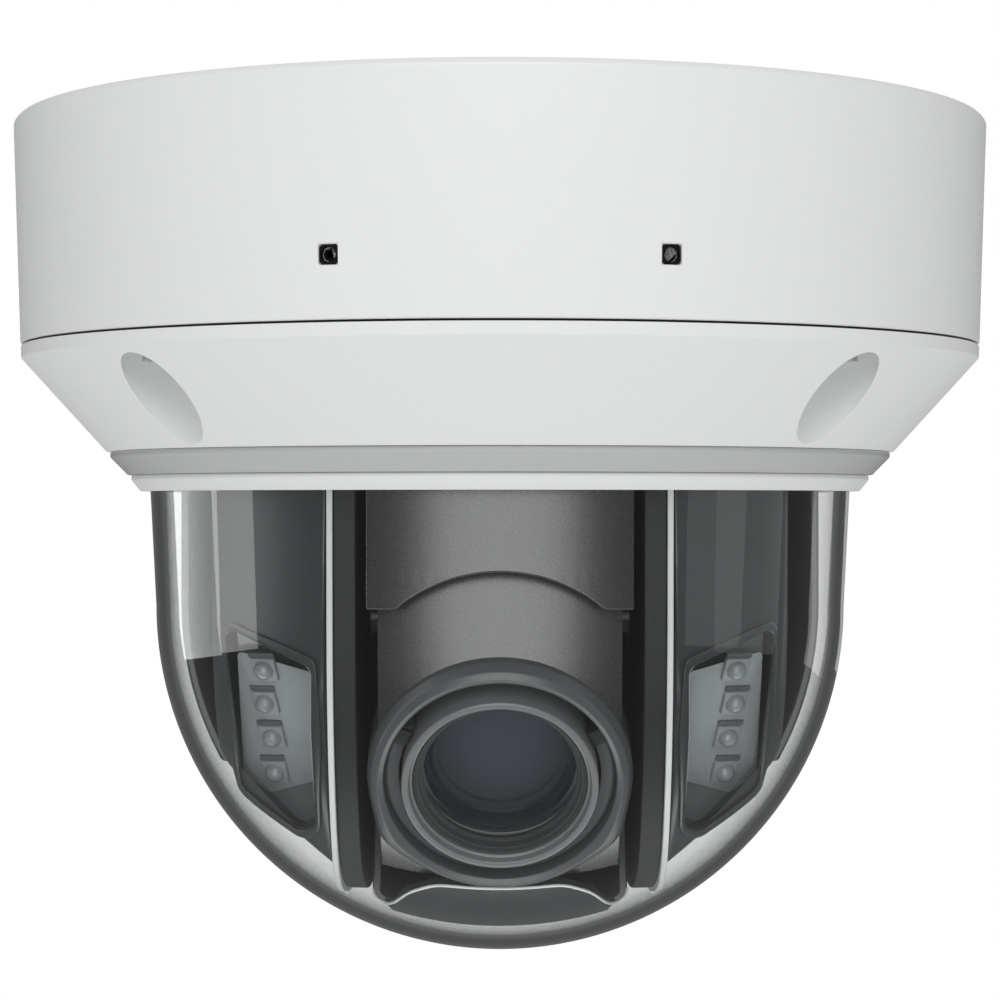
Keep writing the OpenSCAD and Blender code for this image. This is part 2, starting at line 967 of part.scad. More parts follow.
base_housing();
mount_plate();
cable_grommet();
conduit_plug();
base_seal();
dome_cover();
cover_screws();
trim_ring();
lower_rim();
dome_bubble();
dome_seal();
dome_retainer();
retainer_screws();
chassis_plate();
chassis_screws();
main_board();
heat_spreader();
board_spacers();
network_jack();
card_slot();
reset_switch();
reset_button();
microphones();
pan_motor();
pan_pinion();
pan_bearing();
turntable();
hub_clip();
pan_gear();
side_frame_left();
side_frame_right();
frame_screws();
light_seals();
ir_lobe_left();
ir_lobe_right();
ir_windows();
ir_boards();
ir_leds();
front_shield();
rear_shield();
rear_cover_left();
rear_cover_right();
tilt_motor();
tilt_pinion();
tilt_bearings();
head_front_shell();
head_rear_shell();
lens_collar();
head_chassis();
lens_barrel();
front_element();
lens_retainer();
guide_rods();
sensor_board();
tilt_axles();
tilt_gear();
zoom_group();
focus_group();
ir_cut_filter();
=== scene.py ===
"""Ceiling-hung pan, tilt and zoom dome camera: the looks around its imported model.

Sizes in the dataclasses are millimetres. The origin is the centre of the ceiling face, +Z is up and the
lens looks towards -Y. Every mesh is made in metres, in place, so each object stays at the origin.
"""
import json
import logging
import math
from dataclasses import dataclass, field
from enum import Enum

import bmesh
import bpy
import numpy as np
from mathutils import Matrix, Vector

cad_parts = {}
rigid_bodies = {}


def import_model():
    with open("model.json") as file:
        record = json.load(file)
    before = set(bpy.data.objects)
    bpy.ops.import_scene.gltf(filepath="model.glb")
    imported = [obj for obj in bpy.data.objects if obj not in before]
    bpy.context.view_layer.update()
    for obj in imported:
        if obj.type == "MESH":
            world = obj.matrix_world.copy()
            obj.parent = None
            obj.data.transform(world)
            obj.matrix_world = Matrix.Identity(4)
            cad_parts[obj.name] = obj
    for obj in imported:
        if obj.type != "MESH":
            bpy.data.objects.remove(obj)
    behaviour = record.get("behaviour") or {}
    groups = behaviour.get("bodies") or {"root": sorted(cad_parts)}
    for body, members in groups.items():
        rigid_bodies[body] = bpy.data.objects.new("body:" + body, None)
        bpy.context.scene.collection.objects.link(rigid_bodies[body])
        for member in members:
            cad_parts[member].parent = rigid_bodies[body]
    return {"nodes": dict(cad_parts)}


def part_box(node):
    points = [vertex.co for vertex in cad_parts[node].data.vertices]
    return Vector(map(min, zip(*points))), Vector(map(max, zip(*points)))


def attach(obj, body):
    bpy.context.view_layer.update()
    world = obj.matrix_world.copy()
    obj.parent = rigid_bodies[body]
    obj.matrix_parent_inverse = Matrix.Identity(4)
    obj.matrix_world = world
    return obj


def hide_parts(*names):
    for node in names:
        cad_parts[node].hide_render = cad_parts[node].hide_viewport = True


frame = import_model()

LOG = logging.getLogger("ptz_camera")
MM = 0.001
NODES = frame["nodes"]
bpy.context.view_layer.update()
REST_TILT_DEG = 29.0
TILT_AXIS_Z = sum(corner[2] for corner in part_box("tilt_bearings")) / 2
AXIS_MM = TILT_AXIS_Z / MM
SIDES = ((-1, "left"), (1, "right"))
# A wave texture's phase grows by 20 radians a unit
WAVE_TURN = 2 * math.pi / 20


# ---------------------------------------------------------------- colour and shader nodes


def linear(colour: str) -> tuple[float, float, float, float]:
    """Turns an sRGB hex colour into the linear values that shaders take.

    Args:
        colour: six hex digits with a leading hash.

    Returns:
        Red, green, blue and an alpha of 1.
    """
    parts = [int(colour[i:i + 2], 16) / 255 for i in (1, 3, 5)]
    red, green, blue = (p / 12.92 if p <= 0.04045 else ((p + 0.055) / 1.055) ** 2.4 for p in parts)
    return red, green, blue, 1.0


def add_node(tree: bpy.types.NodeTree, kind: str, settings: dict | None = None, links: dict | None = None):
    """Adds one shader node with its settings and its links.

    Args:
        tree: the node tree to add to.
        kind: the node's type name.
        settings: values by attribute name, or by input socket name or index.
        links: output sockets by input socket name or index.

    Returns:
        The new node.
    """
    node = tree.nodes.new(kind)
    for key, value in (settings or {}).items():
        if isinstance(key, str) and hasattr(node, key):
            setattr(node, key, value)
        else:
            node.inputs[key].default_value = value
    for key, source in (links or {}).items():
        tree.links.new(source, node.inputs[key])
    return node


def add_ramp(tree: bpy.types.NodeTree, value: bpy.types.NodeSocket,
             stops: list[tuple]) -> bpy.types.NodeSocket:
    """Adds a colour ramp.

    Args:
        tree: the node tree to add to.
        value: the socket that the ramp reads.
        stops: position and linear colour, the lowest position first.

    Returns:
        The socket with the colour.
    """
    ramp = add_node(tree, "ShaderNodeValToRGB", links={0: value})
    marks = ramp.color_ramp.elements
    marks.remove(marks[1])
    marks[0].position = stops[0][0]
    for at, _ in stops[1:]:
        marks.new(at)
    for mark, (_, colour) in zip(marks, stops):
        mark.color = colour
    return ramp.outputs[0]


def new_material(name: str) -> tuple[bpy.types.Material, bpy.types.NodeTree]:
    """Makes an empty node material.

    Args:
        name: the material's name.

    Returns:
        The material and its node tree.
    """
    material = bpy.data.materials.new(name)
    material.use_nodes = True
    material.node_tree.nodes.clear()
    return material, material.node_tree


# ---------------------------------------------------------------- finishes


class Relief(Enum):
    """How a surface's fine relief was made."""

    PEEL = "paint or gloss moulding with a faint orange peel"
    LEATHER = "moulded against a spark-eroded or etched tool"
    BRUSHED = "drawn or brushed along one direction"
    TURNED = "cut on a lathe, with fine grooves round the lens axis"


@dataclass(frozen=True)
class Finish:
    """One real surface: its colour, gloss and fine relief."""

    name: str
    colour: str
    roughness: float
    relief: Relief = Relief.PEEL
    relief_mm: float = 0.8
    depth_mm: float = 0.01
    tone_mm: float = 14.0
    tone: float = 0.04
    metallic: float = 0.0
    ior: float = 1.5
    coat: float = 0.0
    specular: float = 0.5
    stretch: tuple[float, float, float] = (1.0, 1.0, 1.0)

    def heights(self, tree: bpy.types.NodeTree, place) -> bpy.types.NodeSocket:
        """Adds the texture whose value is the relief's height.

        Args:
            tree: the material's node tree.
            place: the socket that gives the place on the surface.

        Returns:
            The socket with the height, from 0 to 1.
        """
        scale = 1000 / self.relief_mm
        if self.relief is Relief.LEATHER:
            cells = add_node(tree, "ShaderNodeTexVoronoi",
                             {"feature": "SMOOTH_F1", "Scale": scale, "Smoothness": 0.7}, {"Vector": place})
            fine = add_node(tree, "ShaderNodeTexNoise", {"Scale": scale * 1.7, "Detail": 4.0},
                            {"Vector": place})
            both = add_node(tree, "ShaderNodeMath", {"operation": "MULTIPLY_ADD", 2: 0.0},
                            {0: cells.outputs["Distance"], 1: fine.outputs["Fac"], 2: fine.outputs["Fac"]})
            return both.outputs[0]
        if self.relief is Relief.TURNED:
            # Lens axis onto Y: lift the tilt axis to the origin, then turn by the tilt at rest
            tilt = math.radians(REST_TILT_DEG)
            lift = (0.0, -TILT_AXIS_Z * math.sin(tilt), -TILT_AXIS_Z * math.cos(tilt))
            onto = add_node(tree, "ShaderNodeMapping", {"Location": lift, "Rotation": (-tilt, 0.0, 0.0)},
                            {"Vector": place})
            rings = add_node(tree, "ShaderNodeTexWave",
                             {"wave_type": "RINGS", "rings_direction": "Y", "Scale": WAVE_TURN * scale},
                             {"Vector": onto.outputs["Vector"]})
            return rings.outputs["Fac"]
        if self.relief is Relief.BRUSHED:
            along = add_node(tree, "ShaderNodeMapping", {"Scale": self.stretch}, {"Vector": place})
            place = along.outputs["Vector"]
        noise = add_node(tree, "ShaderNodeTexNoise", {"Scale": scale, "Detail": 3.0, "Roughness": 0.6},
                         {"Vector": place})
        return noise.outputs["Fac"]

    def build(self) -> bpy.types.Material:
        """Builds the material.

        Returns:
            The node material.
        """
        material, tree = new_material(self.name)
        place = add_node(tree, "ShaderNodeTexCoord").outputs["Object"]
        height = self.heights(tree, place)
        mottle = add_node(tree, "ShaderNodeTexNoise", {"Scale": 1000 / self.tone_mm, "Detail": 5.0},
                          {"Vector": place})
        base = linear(self.colour)
        dark = tuple(value * (1 - self.tone) for value in base[:3]) + (1.0,)
        light = tuple(min(1.0, value * (1 + self.tone)) for value in base[:3]) + (1.0,)
        colour = add_node(tree, "ShaderNodeMix", {"data_type": "RGBA", 6: dark, 7: light},
                          {0: mottle.outputs["Fac"]})
        rough = add_node(tree, "ShaderNodeMapRange",
                         {"From Min": 0.25, "From Max": 0.75, "To Min": self.roughness * 0.88,
                          "To Max": min(1.0, self.roughness * 1.12)}, {"Value": height})
        bump = add_node(tree, "ShaderNodeBump", {"Strength": 1.0, "Distance": self.depth_mm * MM},
                        {"Height": height})
        surface = add_node(tree, "ShaderNodeBsdfPrincipled",
                           {"Metallic": self.metallic, "IOR": self.ior, "Coat Weight": self.coat,
                            "Specular IOR Level": self.specular},
                           {"Base Color": colour.outputs[2], "Roughness": rough.outputs[0],
                            "Normal": bump.outputs[0]})
        add_node(tree, "ShaderNodeOutputMaterial", links={"Surface": surface.outputs[0]})
        return material


@dataclass(frozen=True)
class Clear:
    """A clear moulding or lens, which bends what is seen and lets lamps through to what is behind it."""

    name: str
    colour: str
    ior: float
    roughness: float = 0.0
    lamp_colour: str = "#f4f6f6"
    specular: float = 0.5
    # Colour of the painted shade where the wall is seen edge-on; none if empty
    edge_colour: str = ""

    def build(self) -> bpy.types.Material:
        """Builds the material.

        Returns:
            The node material.
        """
        material, tree = new_material(self.name)
        place = add_node(tree, "ShaderNodeTexCoord").outputs["Object"]
        # The faint waviness of a blown or moulded wall, about 30 mm from crest to crest
        wave = add_node(tree, "ShaderNodeTexNoise", {"Scale": 33.0, "Detail": 1.0}, {"Vector": place})
        bump = add_node(tree, "ShaderNodeBump", {"Strength": 0.25, "Distance": 0.00005},
                        {"Height": wave.outputs["Fac"]})
        glass = add_node(tree, "ShaderNodeBsdfPrincipled",
                         {"Base Color": linear(self.colour), "Transmission Weight": 1.0, "IOR": self.ior,
                          "Roughness": self.roughness, "Specular IOR Level": self.specular},
                         {"Normal": bump.outputs[0]})
        if self.edge_colour:
            # Painted shade: the colour turns dark where the wall is seen edge-on, then back to clear in a
            # thin light line at its very rim
            facing = add_node(tree, "ShaderNodeLayerWeight", {"Blend": 0.5})
            clear, edge = linear(self.colour), linear(self.edge_colour)
            stops = [(0.0, clear), (0.72, clear), (0.78, edge), (0.86, edge), (0.94, clear)]
            tree.links.new(add_ramp(tree, facing.outputs["Facing"], stops), glass.inputs["Base Color"])
        passing = add_node(tree, "ShaderNodeBsdfTransparent", {"Color": linear(self.lamp_colour)})
        path = add_node(tree, "ShaderNodeLightPath")
        indirect = add_node(tree, "ShaderNodeMath", {"operation": "MAXIMUM"},
                            {0: path.outputs["Is Shadow Ray"], 1: path.outputs["Is Diffuse Ray"]})
        # A ray that went through clear glass counts as glossy too, so those are taken off
        mirrored = add_node(tree, "ShaderNodeMath", {"operation": "SUBTRACT"},
                            {0: path.outputs["Is Glossy Ray"], 1: path.outputs["Is Transmission Ray"]})
        bounced = add_node(tree, "ShaderNodeMath", {"operation": "MAXIMUM"},
                           {0: indirect.outputs[0], 1: mirrored.outputs[0]})
        mixed = add_node(tree, "ShaderNodeMixShader",
                         links={0: bounced.outputs[0], 1: glass.outputs[0], 2: passing.outputs[0]})
        add_node(tree, "ShaderNodeOutputMaterial", links={"Surface": mixed.outputs[0]})
        return material


FINISHES = {
    # Moulded polycarbonate, painted satin white: an even, faintly cool white with a fine leather grain
    "housing": Finish("painted_polycarbonate_white", "#e7e8e8", 0.42, Relief.LEATHER, 0.6, 0.02, 40, 0.012),
    # The same resin moulded in grey and left smooth
    "trim": Finish("moulded_abs_grey", "#bfc0c0", 0.24, Relief.PEEL, 1.5, 0.003, 30, 0.02, coat=0.2),
    # Compression-moulded EPDM: nearly black, matt
    "rubber": Finish("moulded_epdm_black", "#161718", 0.75, Relief.PEEL, 0.4, 0.01, 6, 0.1),
    # Glossy black-grey ABS of the lamp lobes
    "lobe": Finish("moulded_abs_graphite", "#292a2b", 0.34, Relief.PEEL, 0.5, 0.0015, 12, 0.05),
    # ABS moulded against an etched tool, which gives the coarse dry grain
    "grained": Finish("etched_abs_graphite", "#1b1b1b", 0.26, Relief.LEATHER, 0.5, 0.0022, 5, 0.06,
                      ior=1.75),
    # Smooth moulded ABS of the head's tail
    "smooth": Finish("moulded_abs_slate", "#242526", 0.30, Relief.PEEL, 1.0, 0.002, 15, 0.04),
    "collar": Finish("satin_abs_grey", "#3e4041", 0.34, Relief.PEEL, 0.5, 0.002, 10, 0.05),
    # Black anodised aluminium of the barrel and its rings
    "anodised": Finish("anodised_aluminium_black", "#58595a", 0.34, Relief.TURNED, 0.5, 0.001, 8, 0.05),
    # Coated glass over a black tube, which reads as a smooth dark disc
    "dark_lens": Finish("coated_glass_over_black", "#707174", 0.15, Relief.PEEL, 2.0, 0.0002, 20, 0.03),
    # Glass-filled nylon of the frames and the turntable
    "frame": Finish("glass_filled_nylon_black", "#101112", 0.58, Relief.LEATHER, 0.6, 0.006, 7, 0.08,
                    ior=1.4),
    # Closed-cell foam strips: a pale grey that is partly their own colour and partly a painted highlight
    # along their chamfered edges
    "foam": Finish("polyethylene_foam_white", "#a9abaa", 0.8, Relief.LEATHER, 0.35, 0.03, 4, 0.06),
    "zinc": Finish("zinc_plated_steel", "#b9bbbd", 0.30, Relief.BRUSHED, 0.25, 0.006, 10, 0.06, 1.0,
                   stretch=(0.06, 1, 1)),
    "aluminium": Finish("rolled_aluminium", "#c9cbcd", 0.35, Relief.BRUSHED, 0.3, 0.006, 12, 0.05, 1.0,
                        stretch=(1, 0.05, 1)),
    "brass": Finish("turned_brass", "#c9a85c", 0.28, Relief.TURNED, 0.3, 0.004, 5, 0.06, 1.0),
    "board": Finish("solder_mask_green", "#1c5438", 0.32, Relief.PEEL, 1.0, 0.01, 3, 0.18),
    "lamp_board": Finish("solder_mask_grey", "#a8a9a9", 0.36, Relief.PEEL, 0.9, 0.003, 4, 0.04),
    "nylon": Finish("acetal_natural", "#e6e3d8", 0.38, Relief.PEEL, 0.8, 0.006, 8, 0.03),
    "red": Finish("moulded_abs_red", "#a63a2b", 0.4, Relief.PEEL, 0.8, 0.006, 8, 0.04),
    "chip": Finish("moulded_ppa_grey", "#9fa0a0", 0.3, Relief.PEEL, 0.4, 0.002, 2, 0.05),
    "resistor": Finish("chip_resistor_grey", "#626465", 0.4, Relief.PEEL, 0.4, 0.002, 2, 0.05),
    # Steel blackened in a hot bath: satin black
    "black_steel": Finish("black_oxide_steel", "#1b1c1d", 0.38, Relief.PEEL, 0.5, 0.002, 6, 0.06, 0.3),
    # Thin light-grey lip along the tail's front edge, whose pale colour is a painted highlight of that edge
    "lip": Finish("moulded_tpe_grey", "#b8baba", 0.35, Relief.PEEL, 0.4, 0.002, 6, 0.04),
    "chip_dark": Finish("epoxy_black", "#17181a", 0.4, Relief.PEEL, 0.4, 0.004, 2, 0.05),
    # Silicone dome over the lamp chip
    "led": Finish("silicone_dome", "#9b9c9c", 0.08, Relief.PEEL, 1.0, 0.001, 1, 0.1, coat=0.6),
}
CLEARS = {
    "dome": Clear("moulded_polycarbonate_clear", "#fdfefe", 1.49, specular=0.3),
    # The dome's outer face, with painted shade where its wall is seen edge-on
    "dome_outside": Clear("polycarbonate_clear_edge", "#fdfefe", 1.49, specular=0.3, edge_colour="#767879"),
    "window": Clear("moulded_acrylic_clear", "#d4d6d8", 1.46),
    "lens": Clear("coated_optical_glass", "#d9dcea", 1.6),
    "filter": Clear("infrared_cut_glass", "#c78f9a", 1.52),
}


class Palette:
    """Builds each finish once and hands it out by name."""

    def __init__(self) -> None:
        """Starts with nothing built."""
        self.built: dict[str, bpy.types.Material] = {}

    def get(self, key: str) -> bpy.types.Material:
        """Gives a finish's material.

        Args:
            key: the name in FINISHES or CLEARS.

        Returns:
            The material, built the first time it is asked for.
        """
        if key not in self.built:
            self.built[key] = (FINISHES.get(key) or CLEARS[key]).build()
        return self.built[key]


PALETTE = Palette()


# ---------------------------------------------------------------- surfaces


# Points closer than this, in metres, become one
WELD = 2e-6
# Edges of a CAD node that turn by more than this are sharp
CAD_SHARP_DEG = 38.0


def smooth_step(t: np.ndarray) -> np.ndarray:
    """A smooth step from 0 to 1: 3 t^2 - 2 t^3, held at both ends."""
    t = np.clip(t, 0, 1)
    return t * t * (3 - 2 * t)


def rounded_path(corners: list[tuple[float, float]], radii: list[float] | float, closed: bool = True,
                 steps: int = 6) -> np.ndarray:
    """Rounds the corners of an outline with arcs.

    Each corner is cut back along both sides by radius / tan(half the corner's angle), and the points between
    the two cuts lie on the circle that touches both sides.

    Args:
        corners: the outline's corners, in order.
        radii: one radius, or one for each corner.
        closed: whether the last corner joins the first.
        steps: spans on each arc.

    Returns:
        An array of points, one row each.
    """
    points = np.array(corners, float)
    sizes = np.broadcast_to(np.array(radii, float), len(points))
    out = []
    for i, (corner, radius) in enumerate(zip(points, sizes)):
        if radius <= 0 or (not closed and i in (0, len(points) - 1)):
            out.append(corner[None])
            continue
        back = points[i - 1] - corner
        on = points[(i + 1) % len(points)] - corner
        back, on = back / np.linalg.norm(back), on / np.linalg.norm(on)
        half = math.acos(float(np.clip(back @ on, -1, 1))) / 2
        reach = radius / math.tan(half)
        middle = corner + (back + on) / np.linalg.norm(back + on) * radius / math.sin(half)
        start, end = corner + back * reach - middle, corner + on * reach - middle
        sweep = math.atan2(start[0] * end[1] - start[1] * end[0], float(start @ end))
        turn = np.linspace(0, sweep, steps + 1)
        spun = np.outer(np.cos(turn), start) + np.outer(np.sin(turn), [-start[1], start[0]])
        out.append(middle + spun)
    return np.vstack(out)


def even_outline(points: np.ndarray, spacing: float = 0.3) -> np.ndarray:
    """Puts extra points on the straight sides of a closed outline, by linear interpolation along its length.

    Args:
        points: the outline, in order.
        spacing: greatest distance between neighbours.

    Returns:
        The outline with its own points and the extra ones.
    """
    ring = np.vstack([points, points[:1]])
    run = np.concatenate([[0], np.cumsum(np.hypot(*np.diff(ring, axis=0).T))])
    places = np.unique(np.concatenate([run[:-1], np.arange(0, run[-1], spacing)]))
    return np.stack([np.interp(places, run, ring[:, 0]), np.interp(places, run, ring[:, 1])], axis=1)


def lathe(profile: np.ndarray, turns: int = 192) -> np.ndarray:
    """Carries a profile of radius and height round the Z axis: x = r cos a, y = r sin a.

    Args:
        profile: rows of radius and height.
        turns: columns round the axis.

    Returns:
        A grid of points, rows along the profile and columns round the axis.
    """
    angle = np.linspace(0, 2 * np.pi, turns, endpoint=False)
    radius, height = profile[:, :1], profile[:, 1:]
    return np.stack([radius * np.cos(angle), radius * np.sin(angle),
                     np.broadcast_to(height, (len(profile), turns))], axis=-1)


def rounded_box(size: tuple[float, float, float], radius: float, spans: int = 24) -> np.ndarray:
    """A box with round edges: each point is a smaller box's corner plus radius times a sphere's normal.

    Args:
        size: the box's full sides.
        radius: radius of the edges.
        spans: spans round the sphere.

    Returns:
        A grid of points about the box's centre.
    """
    across = (np.arange(spans) + 0.5) / spans * 2 * np.pi
    down = np.concatenate([[0], (np.arange(spans // 2) + 0.5) / (spans // 2) * np.pi, [np.pi]])
    normal = np.stack([np.sin(down)[:, None] * np.cos(across), np.sin(down)[:, None] * np.sin(across),
                       np.broadcast_to(np.cos(down)[:, None], (len(down), spans))], axis=-1)
    half = np.array(size) / 2 - radius
    grid = np.sign(np.round(normal, 9)) * half + radius * normal
    grid[0, :, :2], grid[-1, :, :2] = 0, 0
    return grid


def build_mesh(name: str, grids: list[np.ndarray], wrap_rows: bool = False, wrap_columns: bool = True,
               sharp_deg: float = 32.0) -> bpy.types.Object:
    """Makes one object of point grids in millimetres, welded, with its normals outwards.

    Args:
        name: the object's name.
        grids: arrays of rows by columns by 3, each a surface.
        wrap_rows: whether the last row joins the first.
        wrap_columns: whether the last column joins the first.
        sharp_deg: edges that turn by more than this stay sharp.

    Returns:
        The new object, linked to the scene.
    """
    points, quads, base = [], [], 0
    for grid in grids:
        rows, columns = grid.shape[:2]
        index = base + np.arange(rows * columns).reshape(rows, columns)
        low = index if wrap_rows else index[:-1]
        up = np.roll(index, -1, axis=0) if wrap_rows else index[1:]
        if wrap_columns:
            right_low, right_up = np.roll(low, -1, axis=1), np.roll(up, -1, axis=1)
        else:
            low, right_low, up, right_up = low[:, :-1], low[:, 1:], up[:, :-1], up[:, 1:]
        quads.append(np.stack([low, right_low, right_up, up], axis=-1).reshape(-1, 4))
        points.append(grid.reshape(-1, 3))
        base += rows * columns
    mesh = bpy.data.meshes.new(name)
    mesh.from_pydata((np.vstack(points) * MM).tolist(), [], np.vstack(quads).tolist())
    work = bmesh.new()
    work.from_mesh(mesh)
    bmesh.ops.remove_doubles(work, verts=work.verts, dist=WELD)
    bmesh.ops.dissolve_degenerate(work, edges=work.edges, dist=WELD / 4)
    bmesh.ops.recalc_face_normals(work, faces=work.faces)
    work.to_mesh(mesh)
    work.free()
    return linked(mesh, sharp_deg)


def linked(mesh: bpy.types.Mesh, sharp_deg: float) -> bpy.types.Object:
    """Links a mesh as an object of the same name, smooth except along its sharp edges.

    Args:
        mesh: the finished mesh.
        sharp_deg: edges that turn by more than this stay sharp.

    Returns:
        The new object.
    """
    mesh.shade_smooth()
    mesh.set_sharp_from_angle(angle=math.radians(sharp_deg))
    obj = bpy.data.objects.new(mesh.name, mesh)
    bpy.context.scene.collection.objects.link(obj)
    return obj


def soften(obj: bpy.types.Object, width_mm: float, segments: int = 2, angle_deg: float = 40.0,
           clamp: bool = True) -> bpy.types.Object:
    """Rounds a piece's sharp edges.

    Args:
        obj: the piece.
        width_mm: width of the rounding.
        segments: spans across the rounding.
        angle_deg: edges that turn by more than this are rounded.
        clamp: whether the rounding narrows where edges are short.

    Returns:
        The piece.
    """
    rounding = obj.modifiers.new("rounding", "BEVEL")
    rounding.width = width_mm * MM
    rounding.segments = segments
    rounding.limit_method = "ANGLE"
    rounding.angle_limit = math.radians(angle_deg)
    rounding.use_clamp_overlap = clamp
    rounding.harden_normals = True
    return obj


def softened(name: str, node: str, width_mm: float, segments: int = 2) -> bpy.types.Object:
    """Copies a CAD node's mesh, welds it and rounds its sharp edges.

    Args:
        name: the new object's name.
        node: the CAD node to copy.
        width_mm: width of the rounding.
        segments: spans across the rounding.

    Returns:
        The new object.
    """
    source = NODES[node].data
    places = np.empty(len(source.vertices) * 3)
    source.vertices.foreach_get("co", places)
    corners = np.empty(len(source.loops), np.int32)
    source.loops.foreach_get("vertex_index", corners)
    mesh = bpy.data.meshes.new(name)
    mesh.from_pydata(places.reshape(-1, 3).tolist(), [], corners.reshape(-1, 3).tolist())
    work = bmesh.new()
    work.from_mesh(mesh)
    bmesh.ops.remove_doubles(work, verts=work.verts, dist=1e-7)
    bmesh.ops.dissolve_limit(work, angle_limit=math.radians(0.4), verts=work.verts, edges=work.edges)
    work.to_mesh(mesh)
    work.free()
    return soften(linked(mesh, CAD_SHARP_DEG), width_mm, segments, CAD_SHARP_DEG, clamp=False)


def dress(obj: bpy.types.Object, finish: str, body: str, replaced: tuple[str, ...] = ()) -> None:
    """Gives a piece its finish and says which body it rides on and which nodes it stands for.

    Args:
        obj: the piece.
        finish: the finish's name.
        body: the CAD body that it rides on.
        replaced: CAD nodes that it stands for.
    """
    obj.data.materials.clear()
    obj.data.materials.append(PALETTE.get(finish))
    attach(obj, body)
    if replaced:
        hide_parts(*replaced)
    LOG.info("%s: %d faces, on %s, finish %s", obj.name, len(obj.data.polygons), body, finish)


def node_box(node: str) -> tuple[np.ndarray, np.ndarray]:
    """Gives a CAD node's corners in millimetres.

    Args:
        node: the CAD node.

    Returns:
        Its lowest and highest corner.
    """
    low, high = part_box(node)
    return np.array(low) / MM, np.array(high) / MM


# ---------------------------------------------------------------- housing


@dataclass
class Housing:
    """The white housing, its bevelled cover, and the two rings under it."""

    edge: float = 0.35
    cover_edge: float = 0.18
    bore: float = 58.3
    port_angle: float = 17.9
    port_z: float = -27.3
    port_half: float = 1.42
    port_round: float = 0.7
    port_bore: float = 1.05
    port_from: float = 78.0
    port_to: float = 78.9

    def ring(self, name: str, node: str, out_r: float, step: float, low_r: float) -> bpy.types.Object:
        """Turns a ring: a short upright step under its top, then a slope in to its lower edge.

        Args:
            name: the piece's name.
            node: the CAD node that it stands for.
            out_r: outer radius of the step.
            step: height of the step.
            low_r: outer radius of the lower edge.

        Returns:
            The ring.
        """
        low, high = (corner[2] for corner in node_box(node))
        path = rounded_path([(self.bore, high), (out_r, high), (out_r, high - step), (low_r, low),
                             (self.bore, low)], self.edge)
        return build_mesh(name, [lathe(path, 256)], wrap_rows=True)

    def port(self, side: int, name: str) -> bpy.types.Object:
        """A soft grommet in one microphone recess: a rounded square bar with a round bore, closed by a
        shallow black floor that paints the shade down the hole.

        Args:
            side: 1 on the right and -1 on the left.
            name: the piece's name.

        Returns:
            The grommet.
        """
        half = self.port_half
        corners = [(-half, -half), (half, -half), (half, half), (-half, half)]
        square = even_outline(rounded_path(corners, self.port_round), 0.15)
        turn = np.arctan2(square[:, 1], square[:, 0])
        bore = np.stack([np.cos(turn), np.sin(turn)], axis=1) * self.port_bore
        low, high = self.port_from, self.port_to
        # The bore is closed by a black floor 0.9 mm in: painted shade for the dark depth of the hole
        loops = [(bore * 0.0, low), (bore * 0.98, low + 0.05), (bore, high - 0.2), (bore * 1.12, high),
                 (square * 0.93, high), (square, high - 0.15), (square, low)]
        grid = np.stack([np.column_stack([outline, np.full(len(outline), out)]) for outline, out in loops])
        azimuth = math.radians(-90 + side * self.port_angle)
        ahead = np.array([math.cos(azimuth), math.sin(azimuth)])
        across = np.array([-math.sin(azimuth), math.cos(azimuth)])
        place = grid[..., 2:] * ahead + grid[..., :1] * across
        points = np.concatenate([place, self.port_z + grid[..., 1:2]], axis=-1)
        return build_mesh(name, [points], wrap_rows=True)

    def build(self) -> None:
        """Builds the housing's pieces."""
        wall = softened("housing_wall", "base_housing", self.edge, 3)
        dress(wall, "housing", "root", ("base_housing",))
        cover = softened("bevelled_cover", "dome_cover", self.cover_edge, 3)
        dress(cover, "housing", "root", ("dome_cover",))
        for side, word in SIDES:
            dress(self.port(side, f"microphone_port_{word}"), "frame", "root")
        trim = self.ring("grey_trim_ring", "trim_ring", 64.4, 0.9, 61.55)
        dress(trim, "trim", "root", ("trim_ring",))
        rim = self.ring("white_lower_rim", "lower_rim", 60.95, 0.8, 59.5)
        dress(rim, "housing", "root", ("lower_rim",))


# ---------------------------------------------------------------- dome


@dataclass
class Dome:
    """The clear bubble: a round end, a slightly flared neck and a flange over the cover's ledge."""

    out_r: float = 56.9
    wall: float = 2.2
    neck_out: float = 57.85
    neck_in: float = 55.4
    flange_t: float = 2.2

    def build(self) -> None:
        """Turns the bubble's wall, outer side down to the pole and inner side back up."""
        low, high = node_box("dome_bubble")
        centre = low[2] + self.out_r
        neck_low = node_box("lower_rim")[0][2]
        top, under = high[2], high[2] - self.flange_t
        fall = np.linspace(0, np.pi / 2, 84)
        outer = np.stack([self.out_r * np.cos(fall), centre - self.out_r * np.sin(fall)], axis=1)
        rise = fall[::-1]
        in_r = self.out_r - self.wall
        inner = np.stack([in_r * np.cos(rise), centre - in_r * np.sin(rise)], axis=1)
        flange = rounded_path([(self.neck_in, top), (high[0], top), (high[0], under), (self.neck_out, under),
                               (self.neck_out, neck_low)], 0.4, closed=False)
        profile = np.vstack([flange, outer, inner, [[self.neck_in, neck_low], [self.neck_in, top]]])
        profile[:, 0] = np.maximum(profile[:, 0], 0)
        bubble = build_mesh("dome_bubble_clear", [lathe(profile, 256)], sharp_deg=40)
        dress(bubble, "dome", "root", ("dome_bubble",))
        # The outer face takes the material with the painted edge shade
        bubble.data.materials.append(PALETTE.get("dome_outside"))
        faces = bubble.data.polygons
        centres, normals = np.empty(len(faces) * 3), np.empty(len(faces) * 3)
        faces.foreach_get("center", centres)
        faces.foreach_get("normal", normals)
        away = centres.reshape(-1, 3) - [0, 0, centre * MM]
        # Above the round end the wall is upright, so only the level part counts there
        away[:, 2] = np.minimum(away[:, 2], 0)
        outwards = (away * normals.reshape(-1, 3)).sum(axis=1)
        faces.foreach_set("material_index", (outwards > 0).astype(np.int32))


# ---------------------------------------------------------------- lamps


